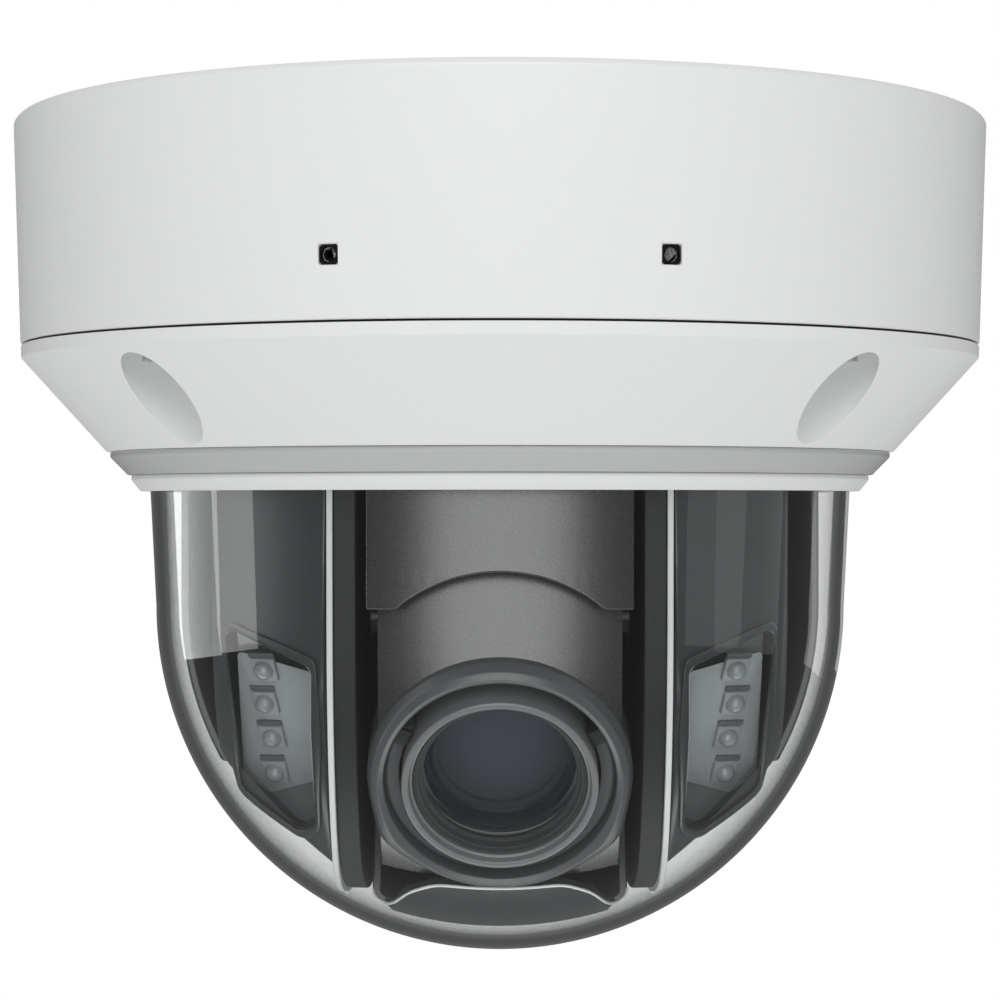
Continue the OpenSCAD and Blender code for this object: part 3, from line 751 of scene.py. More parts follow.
@dataclass
class LampLobe:
    """One lamp lobe: a moulding that follows the dome, with a framed window over a pocket for the lamps."""

    sphere_r: float = 53.0
    inner: float = 25.7
    outer: float = 44.5
    back: float = 17.0
    top: float = -47.0
    outer_turn: float = -100.5
    outer_low: float = -103.0
    inner_low: float = -119.4
    edge: float = 2.2
    window: tuple[tuple[float, float], ...] = ((42.0, -81.2), (28.0, -87.0), (27.9, -115.6), (40.6, -107.4))
    window_round: tuple[float, ...] = (1.2, 2.0, 2.6, 2.4)
    rim_w: float = 1.5
    rim_h: float = 0.6
    rim_over: float = 0.35
    pocket_floor: float = 18.6
    pane_t: float = 1.0
    pane_sink: float = 0.9
    pane_gap: float = 0.45

    def front(self, x: np.ndarray, z: np.ndarray, lift: np.ndarray | float = 0.0) -> np.ndarray:
        """The lobe's front: how far a sphere, or a cylinder above its centre, stands towards the front.

        Args:
            x: distance from the centre plane.
            z: height.
            lift: how far the surface stands proud of the sphere.

        Returns:
            Distance in front of the pan axis.
        """
        drop = np.minimum(z - self.centre, 0)
        return np.sqrt(np.maximum((self.sphere_r + lift) ** 2 - x ** 2 - drop ** 2, 1.0))

    def __post_init__(self) -> None:
        """Takes the dome's centre from the frame."""
        self.centre = node_box("dome_bubble")[0][2] + Dome.out_r
        outline = even_outline(rounded_path(list(self.window), list(self.window_round), steps=10))
        self.middle = np.array(self.window).mean(axis=0)
        spokes = outline - self.middle
        angle = np.arctan2(spokes[:, 1], spokes[:, 0])
        # Spokes through the outline's corners keep them crisp
        corners = [(self.inner, self.top), (self.outer, self.top), (self.outer, self.outer_turn)]
        corner = np.array(corners) - self.middle
        extra = np.arctan2(corner[:, 1], corner[:, 0])
        even = np.linspace(-np.pi, np.pi, 220, endpoint=False)
        self.angle = np.unique(np.concatenate([even, angle, extra]))
        order = np.argsort(angle)
        reach = np.hypot(spokes[:, 0], spokes[:, 1])
        self.window_reach = np.interp(self.angle, angle[order], reach[order], period=2 * np.pi)
        self.edge_reach = self.outer_reach()

    def outer_reach(self) -> np.ndarray:
        """Distance from the window's middle to the lobe's outline along each spoke.

        The outline is the nearest of the two side planes, the top plane, the sloping lower edge and the
        circle where the sphere meets the lobe's back plane.

        Returns:
            One distance for each spoke.
        """
        ux, uz = np.cos(self.angle), np.sin(self.angle)
        mx, mz = self.middle
        with np.errstate(divide="ignore", invalid="ignore"):
            planes = np.stack([
                np.where(ux < 0, (self.inner - mx) / ux, np.inf),
                np.where(ux > 0, (self.outer - mx) / ux, np.inf),
                np.where(uz > 0, (self.top - mz) / uz, np.inf),
            ])
            # The lower edge runs from the outer side down to the inner side
            start, end = np.array([self.outer, self.outer_low]), np.array([self.inner, self.inner_low])
            normal = np.array([start[1] - end[1], end[0] - start[0]])
            toward = ux * normal[0] + uz * normal[1]
            slope = np.where(toward > 0, ((start - self.middle) @ normal) / toward, np.inf)
        radius = math.sqrt(self.sphere_r ** 2 - (self.back + 0.9) ** 2)
        rel = np.array([mx, mz - self.centre])
        along = rel[0] * ux + rel[1] * uz
        circle = -along + np.sqrt(along ** 2 - (rel @ rel - radius ** 2))
        above = mz + circle * uz > self.centre
        circle = np.where(above, np.inf, circle)
        return np.minimum(np.minimum(planes.min(axis=0), slope), circle)

    def loop(self, reach: np.ndarray, depth: np.ndarray | float | None = None, lift: float = 0.0,
             sink: float = 0.0) -> np.ndarray:
        """One closed loop of points round the window's middle.

        Args:
            reach: distance along each spoke.
            depth: distance in front of the pan axis, or None to lie on the front.
            lift: how far proud of the sphere the loop lies.
            sink: how far behind the front the loop lies.

        Returns:
            Points as rows.
        """
        x = self.middle[0] + reach * np.cos(self.angle)
        z = self.middle[1] + reach * np.sin(self.angle)
        y = self.front(x, z, lift) - sink if depth is None else np.broadcast_to(depth, x.shape)
        return np.stack([x, -y, z], axis=1)

    def shell(self) -> np.ndarray:
        """The lobe's whole skin, from the middle of the pocket's floor out to the middle of its back.

        Returns:
            A grid of loops.
        """
        hole, outline = self.window_reach, self.edge_reach
        floor = self.pocket_floor
        loops = [self.loop(hole * 0.0, floor), self.loop(hole * 0.5, floor), self.loop(hole - 0.8, floor),
                 self.loop(hole - 0.5, floor + 0.3)]
        loops += [self.loop(hole - 0.4, sink=sink) for sink in (6.0, 3.0, 1.4)]
        for turn in np.linspace(0, np.pi, 9):
            # The frame round the window: half a round bar that stands proud
            offset = self.rim_w / 2 * (1 - math.cos(turn)) - self.rim_over
            loops.append(self.loop(hole + offset, lift=self.rim_h * math.sin(turn) ** 0.45))
        start = hole + self.rim_w - self.rim_over
        for share in np.linspace(0.06, 1, 26):
            loops.append(self.loop(start + (outline - self.edge - start) * share))
        for turn in np.linspace(0, np.pi / 2, 6)[1:]:
            reach = outline - self.edge * (1 - math.sin(turn))
            loops.append(self.loop(reach, sink=self.edge * (1 - math.cos(turn))))
        rim = loops[-1][:, 1]
        back = np.full(len(rim), -self.back)
        for share in (0.15, 0.5, 1.0):
            loop = self.loop(outline)
            loop[:, 1] = rim + (np.maximum(back, rim) - rim) * share
            loops.append(loop)
        loops += [self.loop(outline * 0.6, self.back), self.loop(outline * 0.0, self.back)]
        return np.stack(loops)

    def pane(self) -> np.ndarray:
        """The clear window, a plate that follows the lobe's front just inside its frame.

        Returns:
            A grid of loops.
        """
        hole = self.window_reach - self.pane_gap
        shares = (0.0, 0.35, 0.7, 0.97, 1.0)
        front = [self.loop(hole * share, sink=self.pane_sink) for share in shares]
        back = [self.loop(hole * share, sink=self.pane_sink + self.pane_t) for share in shares[::-1]]
        return np.stack(front + back)


@dataclass
class Lamps:
    """Both lamp lobes with their windows, boards and lamp chips."""

    board_place: tuple[float, float, float] = (34.4, -26.5, -95.6)
    lean_deg: float = 28.0
    turn_deg: float = 22.0
    board_t: float = 1.2
    board: tuple[tuple[float, float], ...] = ((40.2, -85.4), (28.5, -88.6), (28.5, -105.9), (38.6, -109.0),
                                              (40.2, -106.4))
    lamp_places: tuple[tuple[float, float], ...] = ((35.8, -87.9), (35.9, -93.2), (35.0, -98.7),
                                                    (34.8, -104.4))
    chip: float = 3.9
    chip_t: float = 0.8
    dome_r: float = 1.55
    resistor: tuple[float, float, float] = (4.2, 0.5, 0.8)

    def on_board(self, points: np.ndarray) -> np.ndarray:
        """Takes points from the right board's frame to the model: lean about X, turn about Z, then move.

        Args:
            points: an array whose last axis is x, y, z.

        Returns:
            The moved points.
        """
        tip = np.array(Matrix.Rotation(math.radians(self.lean_deg), 3, "X"))
        spin = np.array(Matrix.Rotation(math.radians(self.turn_deg), 3, "Z"))
        return points @ (spin @ tip).T + np.array(self.board_place)

    def on_plane(self, places: np.ndarray, behind: float = 0.0) -> np.ndarray:
        """Lays points, given as x and z in the model, on the board's face: y solves n . (p - place) = 0.

        Args:
            places: rows of x and z, on the right-hand side.
            behind: distance behind the face.

        Returns:
            The points, with their y.
        """
        middle = np.array(self.board_place)
        normal = self.on_board(np.array([0.0, -1.0, 0.0])) - middle
        rel = places - middle[[0, 2]]
        y = middle[1] - (rel[..., 0] * normal[0] + rel[..., 1] * normal[2]) / normal[1] + behind
        return np.stack([places[..., 0], y, places[..., 1]], axis=-1)

    def plate(self) -> np.ndarray:
        """The board: loops from the middle of its face, round its edge, to the middle of its back."""
        outline = rounded_path(list(self.board), 0.6)
        middle = outline.mean(axis=0)
        loops = [(0.0, 0.0), (0.97, 0.0), (1.0, 0.15), (1.0, self.board_t), (0.0, self.board_t)]
        spokes = outline - middle
        return np.stack([self.on_plane(middle + spokes * share, behind) for share, behind in loops])

    def chips(self) -> tuple[list[np.ndarray], list[np.ndarray], list[np.ndarray]]:
        """The lamp chips on the right board.

        Returns:
            Packages, clear domes, and the dark resistors over them.
        """
        packages, domes, bars = [], [], []
        fall = np.linspace(0, np.pi / 2, 9)
        cap = lathe(np.stack([self.dome_r * np.cos(fall), self.dome_r * np.sin(fall)], axis=1), 28)
        cap = np.stack([cap[..., 0], -0.7 - cap[..., 2], cap[..., 1]], axis=-1)
        body = rounded_box((self.chip, self.chip_t, self.chip), 0.2) - [0, self.chip_t / 2, 0]
        bar = rounded_box(self.resistor, 0.1) + [0.2, -0.2, self.chip / 2 + 0.45]
        for place in self.lamp_places:
            foot = self.on_plane(np.array(place)) - np.array(self.board_place)
            for pieces, grid in ((packages, body), (domes, cap), (bars, bar)):
                pieces.append(self.on_board(grid) + foot)
        return packages, domes, bars

    def build(self) -> None:
        """Builds the lobes, windows, boards and chips on the right, and their mirror images on the left."""
        lobe = LampLobe()
        packages, domes, bars = self.chips()
        # Name, surfaces, sharp angle, finish, slot, and the CAD nodes that they stand for
        pieces = (("lamp_lobe", [lobe.shell()], 28, "lobe", "lobe_plastic", ("ir_lobe_{}",)),
                  ("lamp_window", [lobe.pane()], 32, "window", "ir_glass", ("ir_windows",)),
                  ("lamp_board", [self.plate()], 32, "lamp_board", "lamp_board", ("ir_boards",)),
                  ("lamp_packages", packages, 32, "chip", "led_lens", ("ir_leds",)),
                  ("lamp_domes", domes, 32, "led", "led_lens", ("ir_leds",)),
                  ("lamp_resistors", bars, 32, "resistor", "dark_plastic", ()))
        for side, word in SIDES:
            for name, grids, sharp, finish, slot, nodes in pieces:
                flipped = [grid * [side, 1, 1] for grid in grids]
                piece = build_mesh(f"{name}_{word}", flipped, sharp_deg=sharp)
                dress(piece, finish, "pan", tuple(node.format(word) for node in nodes))


# ---------------------------------------------------------------- drums about the tilt axis


@dataclass
class Drum:
    """A crowned drum about the tilt axis: its radius falls off to both sides on one cross radius."""

    radius: float
    crown: float = 62.5

    def reach(self, x: float | np.ndarray) -> float | np.ndarray:
        """The drum's radius at a distance from the centre plane: R = r - c + sqrt(c^2 - x^2)."""
        return self.radius - self.crown + np.sqrt(self.crown ** 2 - x ** 2)

    def points(self, x: np.ndarray, angle_deg: np.ndarray, lift: float = 0.0) -> np.ndarray:
        """Places points on the drum: y = -R cos a, z = axis - R sin a.

        Args:
            x: distance from the centre plane.
            angle_deg: angle about the tilt axis, 0 level to the front and 90 straight down.
            lift: how far the points stand off the drum.

        Returns:
            The points, on a new last axis.
        """
        x, angle = np.broadcast_arrays(x, np.radians(angle_deg))
        reach = self.reach(x) + lift
        return np.stack([x, -reach * np.cos(angle), AXIS_MM - reach * np.sin(angle)], axis=-1)


def slab(outer: np.ndarray, inner: np.ndarray) -> list[np.ndarray]:
    """Closes two matching open grids into one wall: the two faces and the strip round their edges.

    Args:
        outer: the outer face.
        inner: the inner face, with the same rows and columns.

    Returns:
        The grids of the closed wall; none of them wraps.
    """
    rims = [np.stack([outer[0], inner[0]]), np.stack([outer[-1], inner[-1]]),
            np.stack([outer[:, 0], inner[:, 0]]), np.stack([outer[:, -1], inner[:, -1]])]
    return [outer, inner, *rims]


def tube(path: np.ndarray, radius: float, sides: int = 10) -> np.ndarray:
    """Carries a circle along a path: each ring lies across the path's own direction there.

    Args:
        path: points along the middle, in order.
        radius: the tube's radius.
        sides: points round it.

    Returns:
        A grid of rings, closed to a point at both ends.
    """
    ahead = np.gradient(path, axis=0)
    ahead /= np.linalg.norm(ahead, axis=1)[:, None]
    out = path - np.array([0, 0, path[:, 2].mean()]) * [0, 0, 1]
    first = np.cross(ahead, out)
    first /= np.linalg.norm(first, axis=1)[:, None]
    second = np.cross(ahead, first)
    turn = np.linspace(0, 2 * np.pi, sides, endpoint=False)[None, :, None]
    rings = path[:, None] + radius * (np.cos(turn) * first[:, None] + np.sin(turn) * second[:, None])
    ends = [np.broadcast_to(point, (1, sides, 3)) for point in (path[0], path[-1])]
    return np.concatenate([ends[0], rings, ends[1]])


# ---------------------------------------------------------------- pan module


@dataclass
class PanModule:
    """What turns with the pan: side frames, foam light seals, shields and rear covers."""

    shield_r: float = 53.4
    shield_t: float = 0.9
    half_w: float = 19.8
    shield_from: float = -52.0
    shield_to: float = -3.1
    upright_from: float = -42.0
    upright_full: float = -26.0
    upright_below: float = -8.0
    arch_r: float = 23.7
    arch_z: float = -96.3
    arch_half_w: float = 15.2

    def front_shield(self) -> bpy.types.Object:
        """The grained front shield: a drum wall whose lower edge rises in an arch over the lens.

        Returns:
            The shield.
        """
        drum = Drum(self.shield_r)
        corner = self.arch_half_w
        half = np.concatenate([np.linspace(0, corner, 34), np.linspace(corner, self.half_w, 8)[1:]])
        x = np.concatenate([-half[:0:-1], half])
        arch = self.arch_z + np.sqrt(np.maximum(self.arch_r ** 2 - x ** 2, 0))
        plain = math.radians(self.shield_to)
        under_arch = -np.arcsin(np.clip((arch - AXIS_MM) / drum.reach(x), -1, 1))
        low = np.degrees(np.where(np.abs(x) <= corner, np.minimum(under_arch, plain), plain))
        angle = self.shield_from + (low - self.shield_from) * np.linspace(0, 1, 40)[:, None]
        across = np.broadcast_to(x, angle.shape)
        outer, inner = drum.points(across, angle), drum.points(across, angle, -self.shield_t)
        # Above the bend b the wall stands upright: y = -R (cos a + (cos b - cos a) w), w easing from 0 to 1
        bend = math.cos(math.radians(self.upright_below))
        share = (angle - self.upright_from) / (self.upright_full - self.upright_from)
        share = smooth_step(share * (angle < self.upright_below))
        factor = 1 + (bend / np.cos(np.radians(angle)) - 1) * share
        outer[..., 1] *= factor
        inner[..., 1] *= factor
        return soften(build_mesh("arched_front_shield", slab(outer, inner), wrap_columns=False), 0.25)

    def build(self) -> None:
        """Builds the module's visible pieces."""
        dress(self.front_shield(), "grained", "pan", ("front_shield",))
        for word in ("left", "right"):
            rail = softened(f"side_rail_{word}", f"side_frame_{word}", 0.3)
            dress(rail, "frame", "pan", (f"side_frame_{word}",))
            cover = softened(f"lamp_rear_cover_{word}", f"rear_cover_{word}", 0.4)
            dress(cover, "lobe", "pan", (f"rear_cover_{word}",))
        # Their pale grey is partly a painted highlight of the strips' edges
        seals = softened("foam_light_seals", "light_seals", 0.2)
        dress(seals, "foam", "pan", ("light_seals",))
        back = softened("curved_rear_shield", "rear_shield", 0.2)
        dress(back, "grained", "pan", ("rear_shield",))


# ---------------------------------------------------------------- tilting head


@dataclass
class Head:
    """The tilting head: shells, collar and the lens in its barrel."""

    rear_r: float = 51.4
    rear_half_w: float = 20.4
    rear_corner: float = 2.2
    rear_t: float = 1.4
    rear_from: float = 23.3
    # How the front edge sweeps back: distance from the middle, over what width, and degrees
    rear_sweep: tuple[tuple[float, float, float], ...] = ((9.0, 6.5, 5.0), (14.2, 4.2, 13.0))
    rear_to: float = 140.0
    hub_r: float = 24.0
    lip_r: float = 0.22
    collar_out: float = 20.0
    collar_bore: float = 17.5
    collar_swell: float = 0.065
    collar_swell_at: float = 34.0
    collar_swell_deg: float = 13.0
    collar_back: float = 38.0
    collar_front: float = 49.1
    lug_deg: float = 27.0
    barrel_out: float = 14.8
    barrel_front: float = 49.7
    barrel_back: float = -18.0

    def along_lens(self, grid: np.ndarray) -> np.ndarray:
        """Stands a turned form, whose axis is Z, along the lens: its height becomes distance down the lens.

        Args:
            grid: points turned about the Z axis.

        Returns:
            The points in the model.
        """
        tilt = math.radians(REST_TILT_DEG)
        ahead = np.array([0, -math.cos(tilt), -math.sin(tilt)])
        upward = np.array([0, -math.sin(tilt), math.cos(tilt)])
        return (grid[..., :1] * np.array([1, 0, 0]) + grid[..., 1:2] * upward + grid[..., 2:] * ahead
                + np.array([0, 0, AXIS_MM]))

    def turned(self, name: str, profile: np.ndarray, loop: bool = True) -> bpy.types.Object:
        """Turns a profile of radius and distance about the lens axis.

        Args:
            name: the piece's name.
            profile: rows of radius and distance from the tilt axis.
            loop: whether the profile closes on itself.

        Returns:
            The piece.
        """
        return build_mesh(name, [self.along_lens(lathe(profile, 160))], wrap_rows=loop, sharp_deg=28)

    @staticmethod
    def lens_face(radius: float, centre: float, half_w: float, count: int) -> np.ndarray:
        """A spherical lens face from the axis outwards: r = R sin a, distance = c + R cos a.

        Args:
            radius: the sphere's radius.
            centre: distance of its centre from the tilt axis.
            half_w: radius of the face's rim.
            count: points on the face.

        Returns:
            Rows of radius and distance.
        """
        fall = np.linspace(0, math.asin(half_w / radius), count)
        return np.stack([radius * np.sin(fall), centre + radius * np.cos(fall)], axis=1)

    def tail_section(self, inset: float) -> np.ndarray:
        """The tail's section: two side walls and the drum's crown between them, with round corners.

        Args:
            inset: distance inside the outer face.

        Returns:
            Rows of x and distance from the tilt axis.
        """
        drum, width = Drum(self.rear_r), self.rear_half_w - inset
        top = drum.reach(width) - inset
        across = rounded_path([(-width, self.hub_r), (-width, top), (width, top), (width, self.hub_r)],
                              self.rear_corner - inset * 0.8, closed=False, steps=8)
        left = across[:len(across) // 2]
        middle = np.linspace(left[-1, 0], -left[-1, 0], 41)[1:-1]
        crown = np.stack([middle, drum.reach(middle) - inset], axis=1)
        return np.vstack([left, crown, left[::-1] * [-1, 1]])

    def tail_sweep(self, section: np.ndarray, x: np.ndarray) -> np.ndarray:
        """Carries the tail's section round the tilt axis, from a front edge that sweeps back at both sides.

        Args:
            section: rows of x and distance from the tilt axis.
            x: distance of each column from the centre plane, which sets where its front edge is.

        Returns:
            A grid of points, rows round the axis.
        """
        back = sum(rise * smooth_step((x - at) / over) for at, over, rise in self.rear_sweep)
        start = self.rear_from + back
        turn = np.radians(REST_TILT_DEG + start + (self.rear_to - start) * np.linspace(0, 1, 90)[:, None])
        return np.stack([np.broadcast_to(section[:, 0], turn.shape), -section[:, 1] * np.cos(turn),
                         AXIS_MM - section[:, 1] * np.sin(turn)], axis=-1)

    def rear_shell(self) -> bpy.types.Object:
        """The smooth tail: a drum wall with side walls, and a thin light-grey lip along its front edge that
        paints the edge's highlight.

        Returns:
            The shell.
        """
        outer, inner = self.tail_section(0.0), self.tail_section(self.rear_t)
        x = np.abs(outer[:, 0])
        skin = self.tail_sweep(outer, x)
        edge = skin[0][np.abs(outer[:, 1]) > self.hub_r + 4]
        # Three rounds of averaging with both neighbours take the kinks out of the lip's corners
        for _ in range(3):
            edge[1:-1] = (edge[:-2] + edge[1:-1] * 2 + edge[2:]) / 4
        # The lip's light grey is a painted highlight of the front edge
        dress(build_mesh("rear_shell_lip", [tube(edge, self.lip_r)]), "lip", "tilt")
        wall = slab(skin, self.tail_sweep(inner, x))
        return soften(build_mesh("smooth_rear_shell", wall, wrap_columns=False, sharp_deg=40), 0.3)

    def collar(self) -> bpy.types.Object:
        """The collar: a ring with a bevelled front, swollen at its two lower corners.

        Returns:
            The collar.
        """
        turns = 192
        angle = np.linspace(0, 2 * np.pi, turns, endpoint=False)
        below = np.degrees(np.arccos(np.clip(np.abs(np.cos(angle)), 0, 1)))
        corner = np.exp(-((below - self.collar_swell_at) / self.collar_swell_deg) ** 2) * (np.sin(angle) < 0)
        profile = rounded_path([
            (self.collar_bore, self.collar_back), (self.collar_out, self.collar_back),
            (self.collar_out, 46.4), (19.3, 48.3), (18.4, self.collar_front),
            (self.collar_bore, self.collar_front - 0.5)], [0.2, 0.3, 0.8, 0.8, 0.3, 0.3])
        grid = lathe(profile, turns)
        share = np.clip((profile[:, 0] - self.collar_bore) / (self.collar_out - self.collar_bore), 0, 1)
        factor = 1 + self.collar_swell * share[:, None] * corner[None, :]
        grid[..., :2] *= factor[..., None]
        return build_mesh("lens_collar_ring", [self.along_lens(grid)], wrap_rows=True, sharp_deg=28)

    def collar_inside(self) -> None:
        """Builds the sleeve in the lower part of the collar's bore and the locking lugs above its ends."""
        corners = [(15.2, 40.0), (17.45, 40.0), (17.45, 46.4), (16.9, 46.9), (15.2, 46.5)]
        profile = rounded_path(corners, 0.2, steps=3)
        turn = np.radians(np.linspace(self.lug_deg - 5, -185 - self.lug_deg, 120))
        arc = np.stack([profile[:, :1] * np.cos(turn), profile[:, :1] * np.sin(turn),
                        np.broadcast_to(profile[:, 1:], (len(profile), len(turn)))], axis=-1)
        ends = [np.broadcast_to(arc[:, at].mean(axis=0), (len(profile), 1, 3)) for at in (0, -1)]
        arc = np.concatenate([ends[0], arc, ends[1]], axis=1)
        sleeve = build_mesh("collar_sleeve", [self.along_lens(arc)], wrap_rows=True, wrap_columns=False,
                            sharp_deg=28)
        dress(sleeve, "collar", "tilt")
        lugs = []
        for angle in (self.lug_deg, 180 - self.lug_deg):
            out = np.array([math.cos(math.radians(angle)), math.sin(math.radians(angle)), 0])
            across = np.array([-out[1], out[0], 0])
            box = rounded_box((2.2, 2.6, 3.2), 0.25) + np.array([16.35, 0, 46.2])
            box = box @ np.array([out, across, [0, 0, 1]])
            lugs.append(self.along_lens(box))
        dress(build_mesh("collar_lugs", lugs), "frame", "tilt")

    def lens(self) -> None:
        """Builds the barrel, its rings, the front glass and the lens behind it."""
        front, back = self.barrel_front, self.barrel_back
        barrel = rounded_path([
            (self.barrel_out, back), (self.barrel_out, front), (13.75, front), (13.55, front - 1.0),
            (13.2, front - 1.1), (13.2, 44.2), (12.5, 44.0), (12.5, 42.3), (13.2, 42.0), (13.2, back + 1),
            (4.2, back + 1), (4.2, back)],
            [0.3, 0.35, 0.2, 0.15, 0.15, 0.1, 0.1, 0.1, 0.1, 0.2, 0.1, 0.1], steps=4)
        dress(self.turned("lens_barrel_turned", barrel), "anodised", "tilt", ("lens_barrel",))
        # Retaining ring: a bevelled face with three fine steps down to the glass
        steps = [(13.15, front - 4.6), (13.15, front - 1.5), (12.85, front - 1.2), (12.6, front - 1.9),
                 (12.35, front - 1.9), (12.1, front - 2.9), (11.85, front - 2.9), (11.6, front - 3.3),
                 (11.6, front - 3.9), (12.3, front - 4.6)]
        retainer = rounded_path(steps, 0.08, steps=3)
        dress(self.turned("lens_retaining_ring", retainer), "anodised", "tilt",
              ("lens_retainer",))
        convex = self.lens_face(27.6, 19.4, 12.3, 26)
        concave = self.lens_face(34, 9.2, 11.2, 20)[::-1]
        glass = np.vstack([convex, [[12.3, 42.8], [11.2, 42.4]], concave])
        dress(self.turned("front_lens_glass", glass, loop=False), "lens", "tilt",
              ("front_element",))
        # Stepped light baffle behind the front glass
        steps = [(13.1, 41.9), (12.2, 41.9), (11.9, 40.9), (11.2, 40.9), (10.9, 39.9), (10.2, 39.9),
                 (9.8, 38.8), (9.0, 38.8), (8.8, 38.1), (13.1, 38.1)]
        baffle = rounded_path(steps, 0.1, steps=3)
        dress(self.turned("lens_baffle", baffle), "anodised", "tilt")
        # The second lens closes the view into the tube
        second = np.vstack([self.lens_face(20, 20.4, 9.0, 22), [[9.0, 38.2], [0, 38.2]]])
        dress(self.turned("second_lens_glass", second, loop=False), "dark_lens", "tilt")

    def zoom_cell(self) -> None:
        """Builds the zoom cell's ring and its strongly curved lens."""
        cell = rounded_path([(12.9, 18.2), (12.9, 25), (9.2, 25), (8.5, 23.6), (8.5, 18.2)], 0.2, steps=3)
        dress(self.turned("zoom_cell_ring", cell), "anodised", "zoom", ("zoom_group",))
        glass = np.vstack([self.lens_face(13, 12.4, 8.4, 22), [[8.4, 19.4], [0, 19.4]]])
        dress(self.turned("zoom_lens_glass", glass, loop=False), "lens", "zoom")

    def build(self) -> None:
        """Builds the head's pieces."""
        dress(self.rear_shell(), "smooth", "tilt", ("head_rear_shell",))
        dress(self.collar(), "collar", "tilt", ("lens_collar",))
        self.collar_inside()
        self.lens()
        self.zoom_cell()


# ---------------------------------------------------------------- nodes that keep their CAD shape

CAD_FINISHES = {
    "mount_plate": "zinc", "cable_grommet": "rubber", "conduit_plug": "housing", "base_seal": "rubber",
    "cover_screws": "zinc", "dome_seal": "rubber", "dome_retainer": "frame", "retainer_screws": "zinc",
    "chassis_plate": "aluminium", "chassis_screws": "zinc", "main_board": "board",
    "heat_spreader": "aluminium", "board_spacers": "brass",
    "network_jack": "zinc", "card_slot": "zinc", "reset_switch": "chip_dark",
    "reset_button": "red", "microphones": "rubber", "pan_motor": "zinc", "pan_pinion": "nylon",
    "pan_bearing": "zinc", "turntable": "frame", "hub_clip": "zinc", "pan_gear": "nylon",
    "frame_screws": "zinc", "tilt_motor": "zinc", "tilt_pinion": "nylon", "tilt_bearings": "black_steel",
    "head_chassis": "aluminium", "guide_rods": "zinc",
    "sensor_board": "board", "tilt_axles": "zinc", "tilt_gear": "nylon",
    "focus_group": "anodised", "head_front_shell": "grained", "ir_cut_filter": "filter",
}


def dress_cad_nodes() -> None:
    """Gives every CAD node that stays its finish."""
    for node, finish in CAD_FINISHES.items():
        for slot in NODES[node].material_slots:
            slot.material = PALETTE.get(finish)
        LOG.info("%s: CAD shape, finish %s", node, finish)


# ---------------------------------------------------------------- studio


WHITE_PIECES = ("housing_wall", "bevelled_cover", "grey_trim_ring", "white_lower_rim", "conduit_plug",
                "mount_plate")
# What the front lamp lights, by the start of the names: the coated lenses stay dark
INNER_PIECES = ("arched_front_shield", "side_rail", "lamp_", "foam_light_seals", "smooth_rear_shell",
                "lens_collar", "lens_barrel", "collar_", "head_front_shell", "rear_shell_lip")


class Lit(Enum):
    """What a lamp lights."""

    BODY = "the white body only"
    INSIDE = "what is inside the dome"
    DOME = "the dome and what is inside it"

    def takes(self, name: str) -> bool:
        """Tells whether a piece is lit, from its name."""
        body, inner = name in WHITE_PIECES, name.startswith(INNER_PIECES)
        return {Lit.BODY: body, Lit.INSIDE: inner, Lit.DOME: not body}[self]


@dataclass
class SoftBox:
    """One soft lamp: a rectangle that faces the dome."""

    name: str
    azimuth: float
    elevation: float
    distance: float
    width: float
    height: float
    watts: float
    lit: Lit

    def build(self, target: np.ndarray) -> None:
        """Hangs the lamp round the target, and limits it to what it lights.

        Args:
            target: the point it faces, in metres.
        """
        data = bpy.data.lights.new(self.name, "AREA")
        data.shape = "RECTANGLE"
        data.size, data.size_y, data.energy = self.width, self.height, self.watts
        lamp = bpy.data.objects.new(self.name, data)
        bpy.context.scene.collection.objects.link(lamp)
        turn, rise = math.radians(self.azimuth), math.radians(self.elevation)
        away = np.array([-math.sin(turn) * math.cos(rise), -math.cos(turn) * math.cos(rise), math.sin(rise)])
        lamp.location = target + away * self.distance
        lamp.rotation_euler = Vector((-away).tolist()).to_track_quat("-Z", "Y").to_euler()
        lamp.visible_camera = False
        receivers = bpy.data.collections.new(f"{self.name}_lights")
        for piece in bpy.data.objects:
            if piece.type == "MESH" and self.lit.takes(piece.name):
                receivers.objects.link(piece)
        lamp.light_linking.receiver_collection = receivers
        if self.lit is Lit.INSIDE:
            # The housing and the dome cast no shadow in this lamp's light
            lamp.light_linking.blocker_collection = receivers


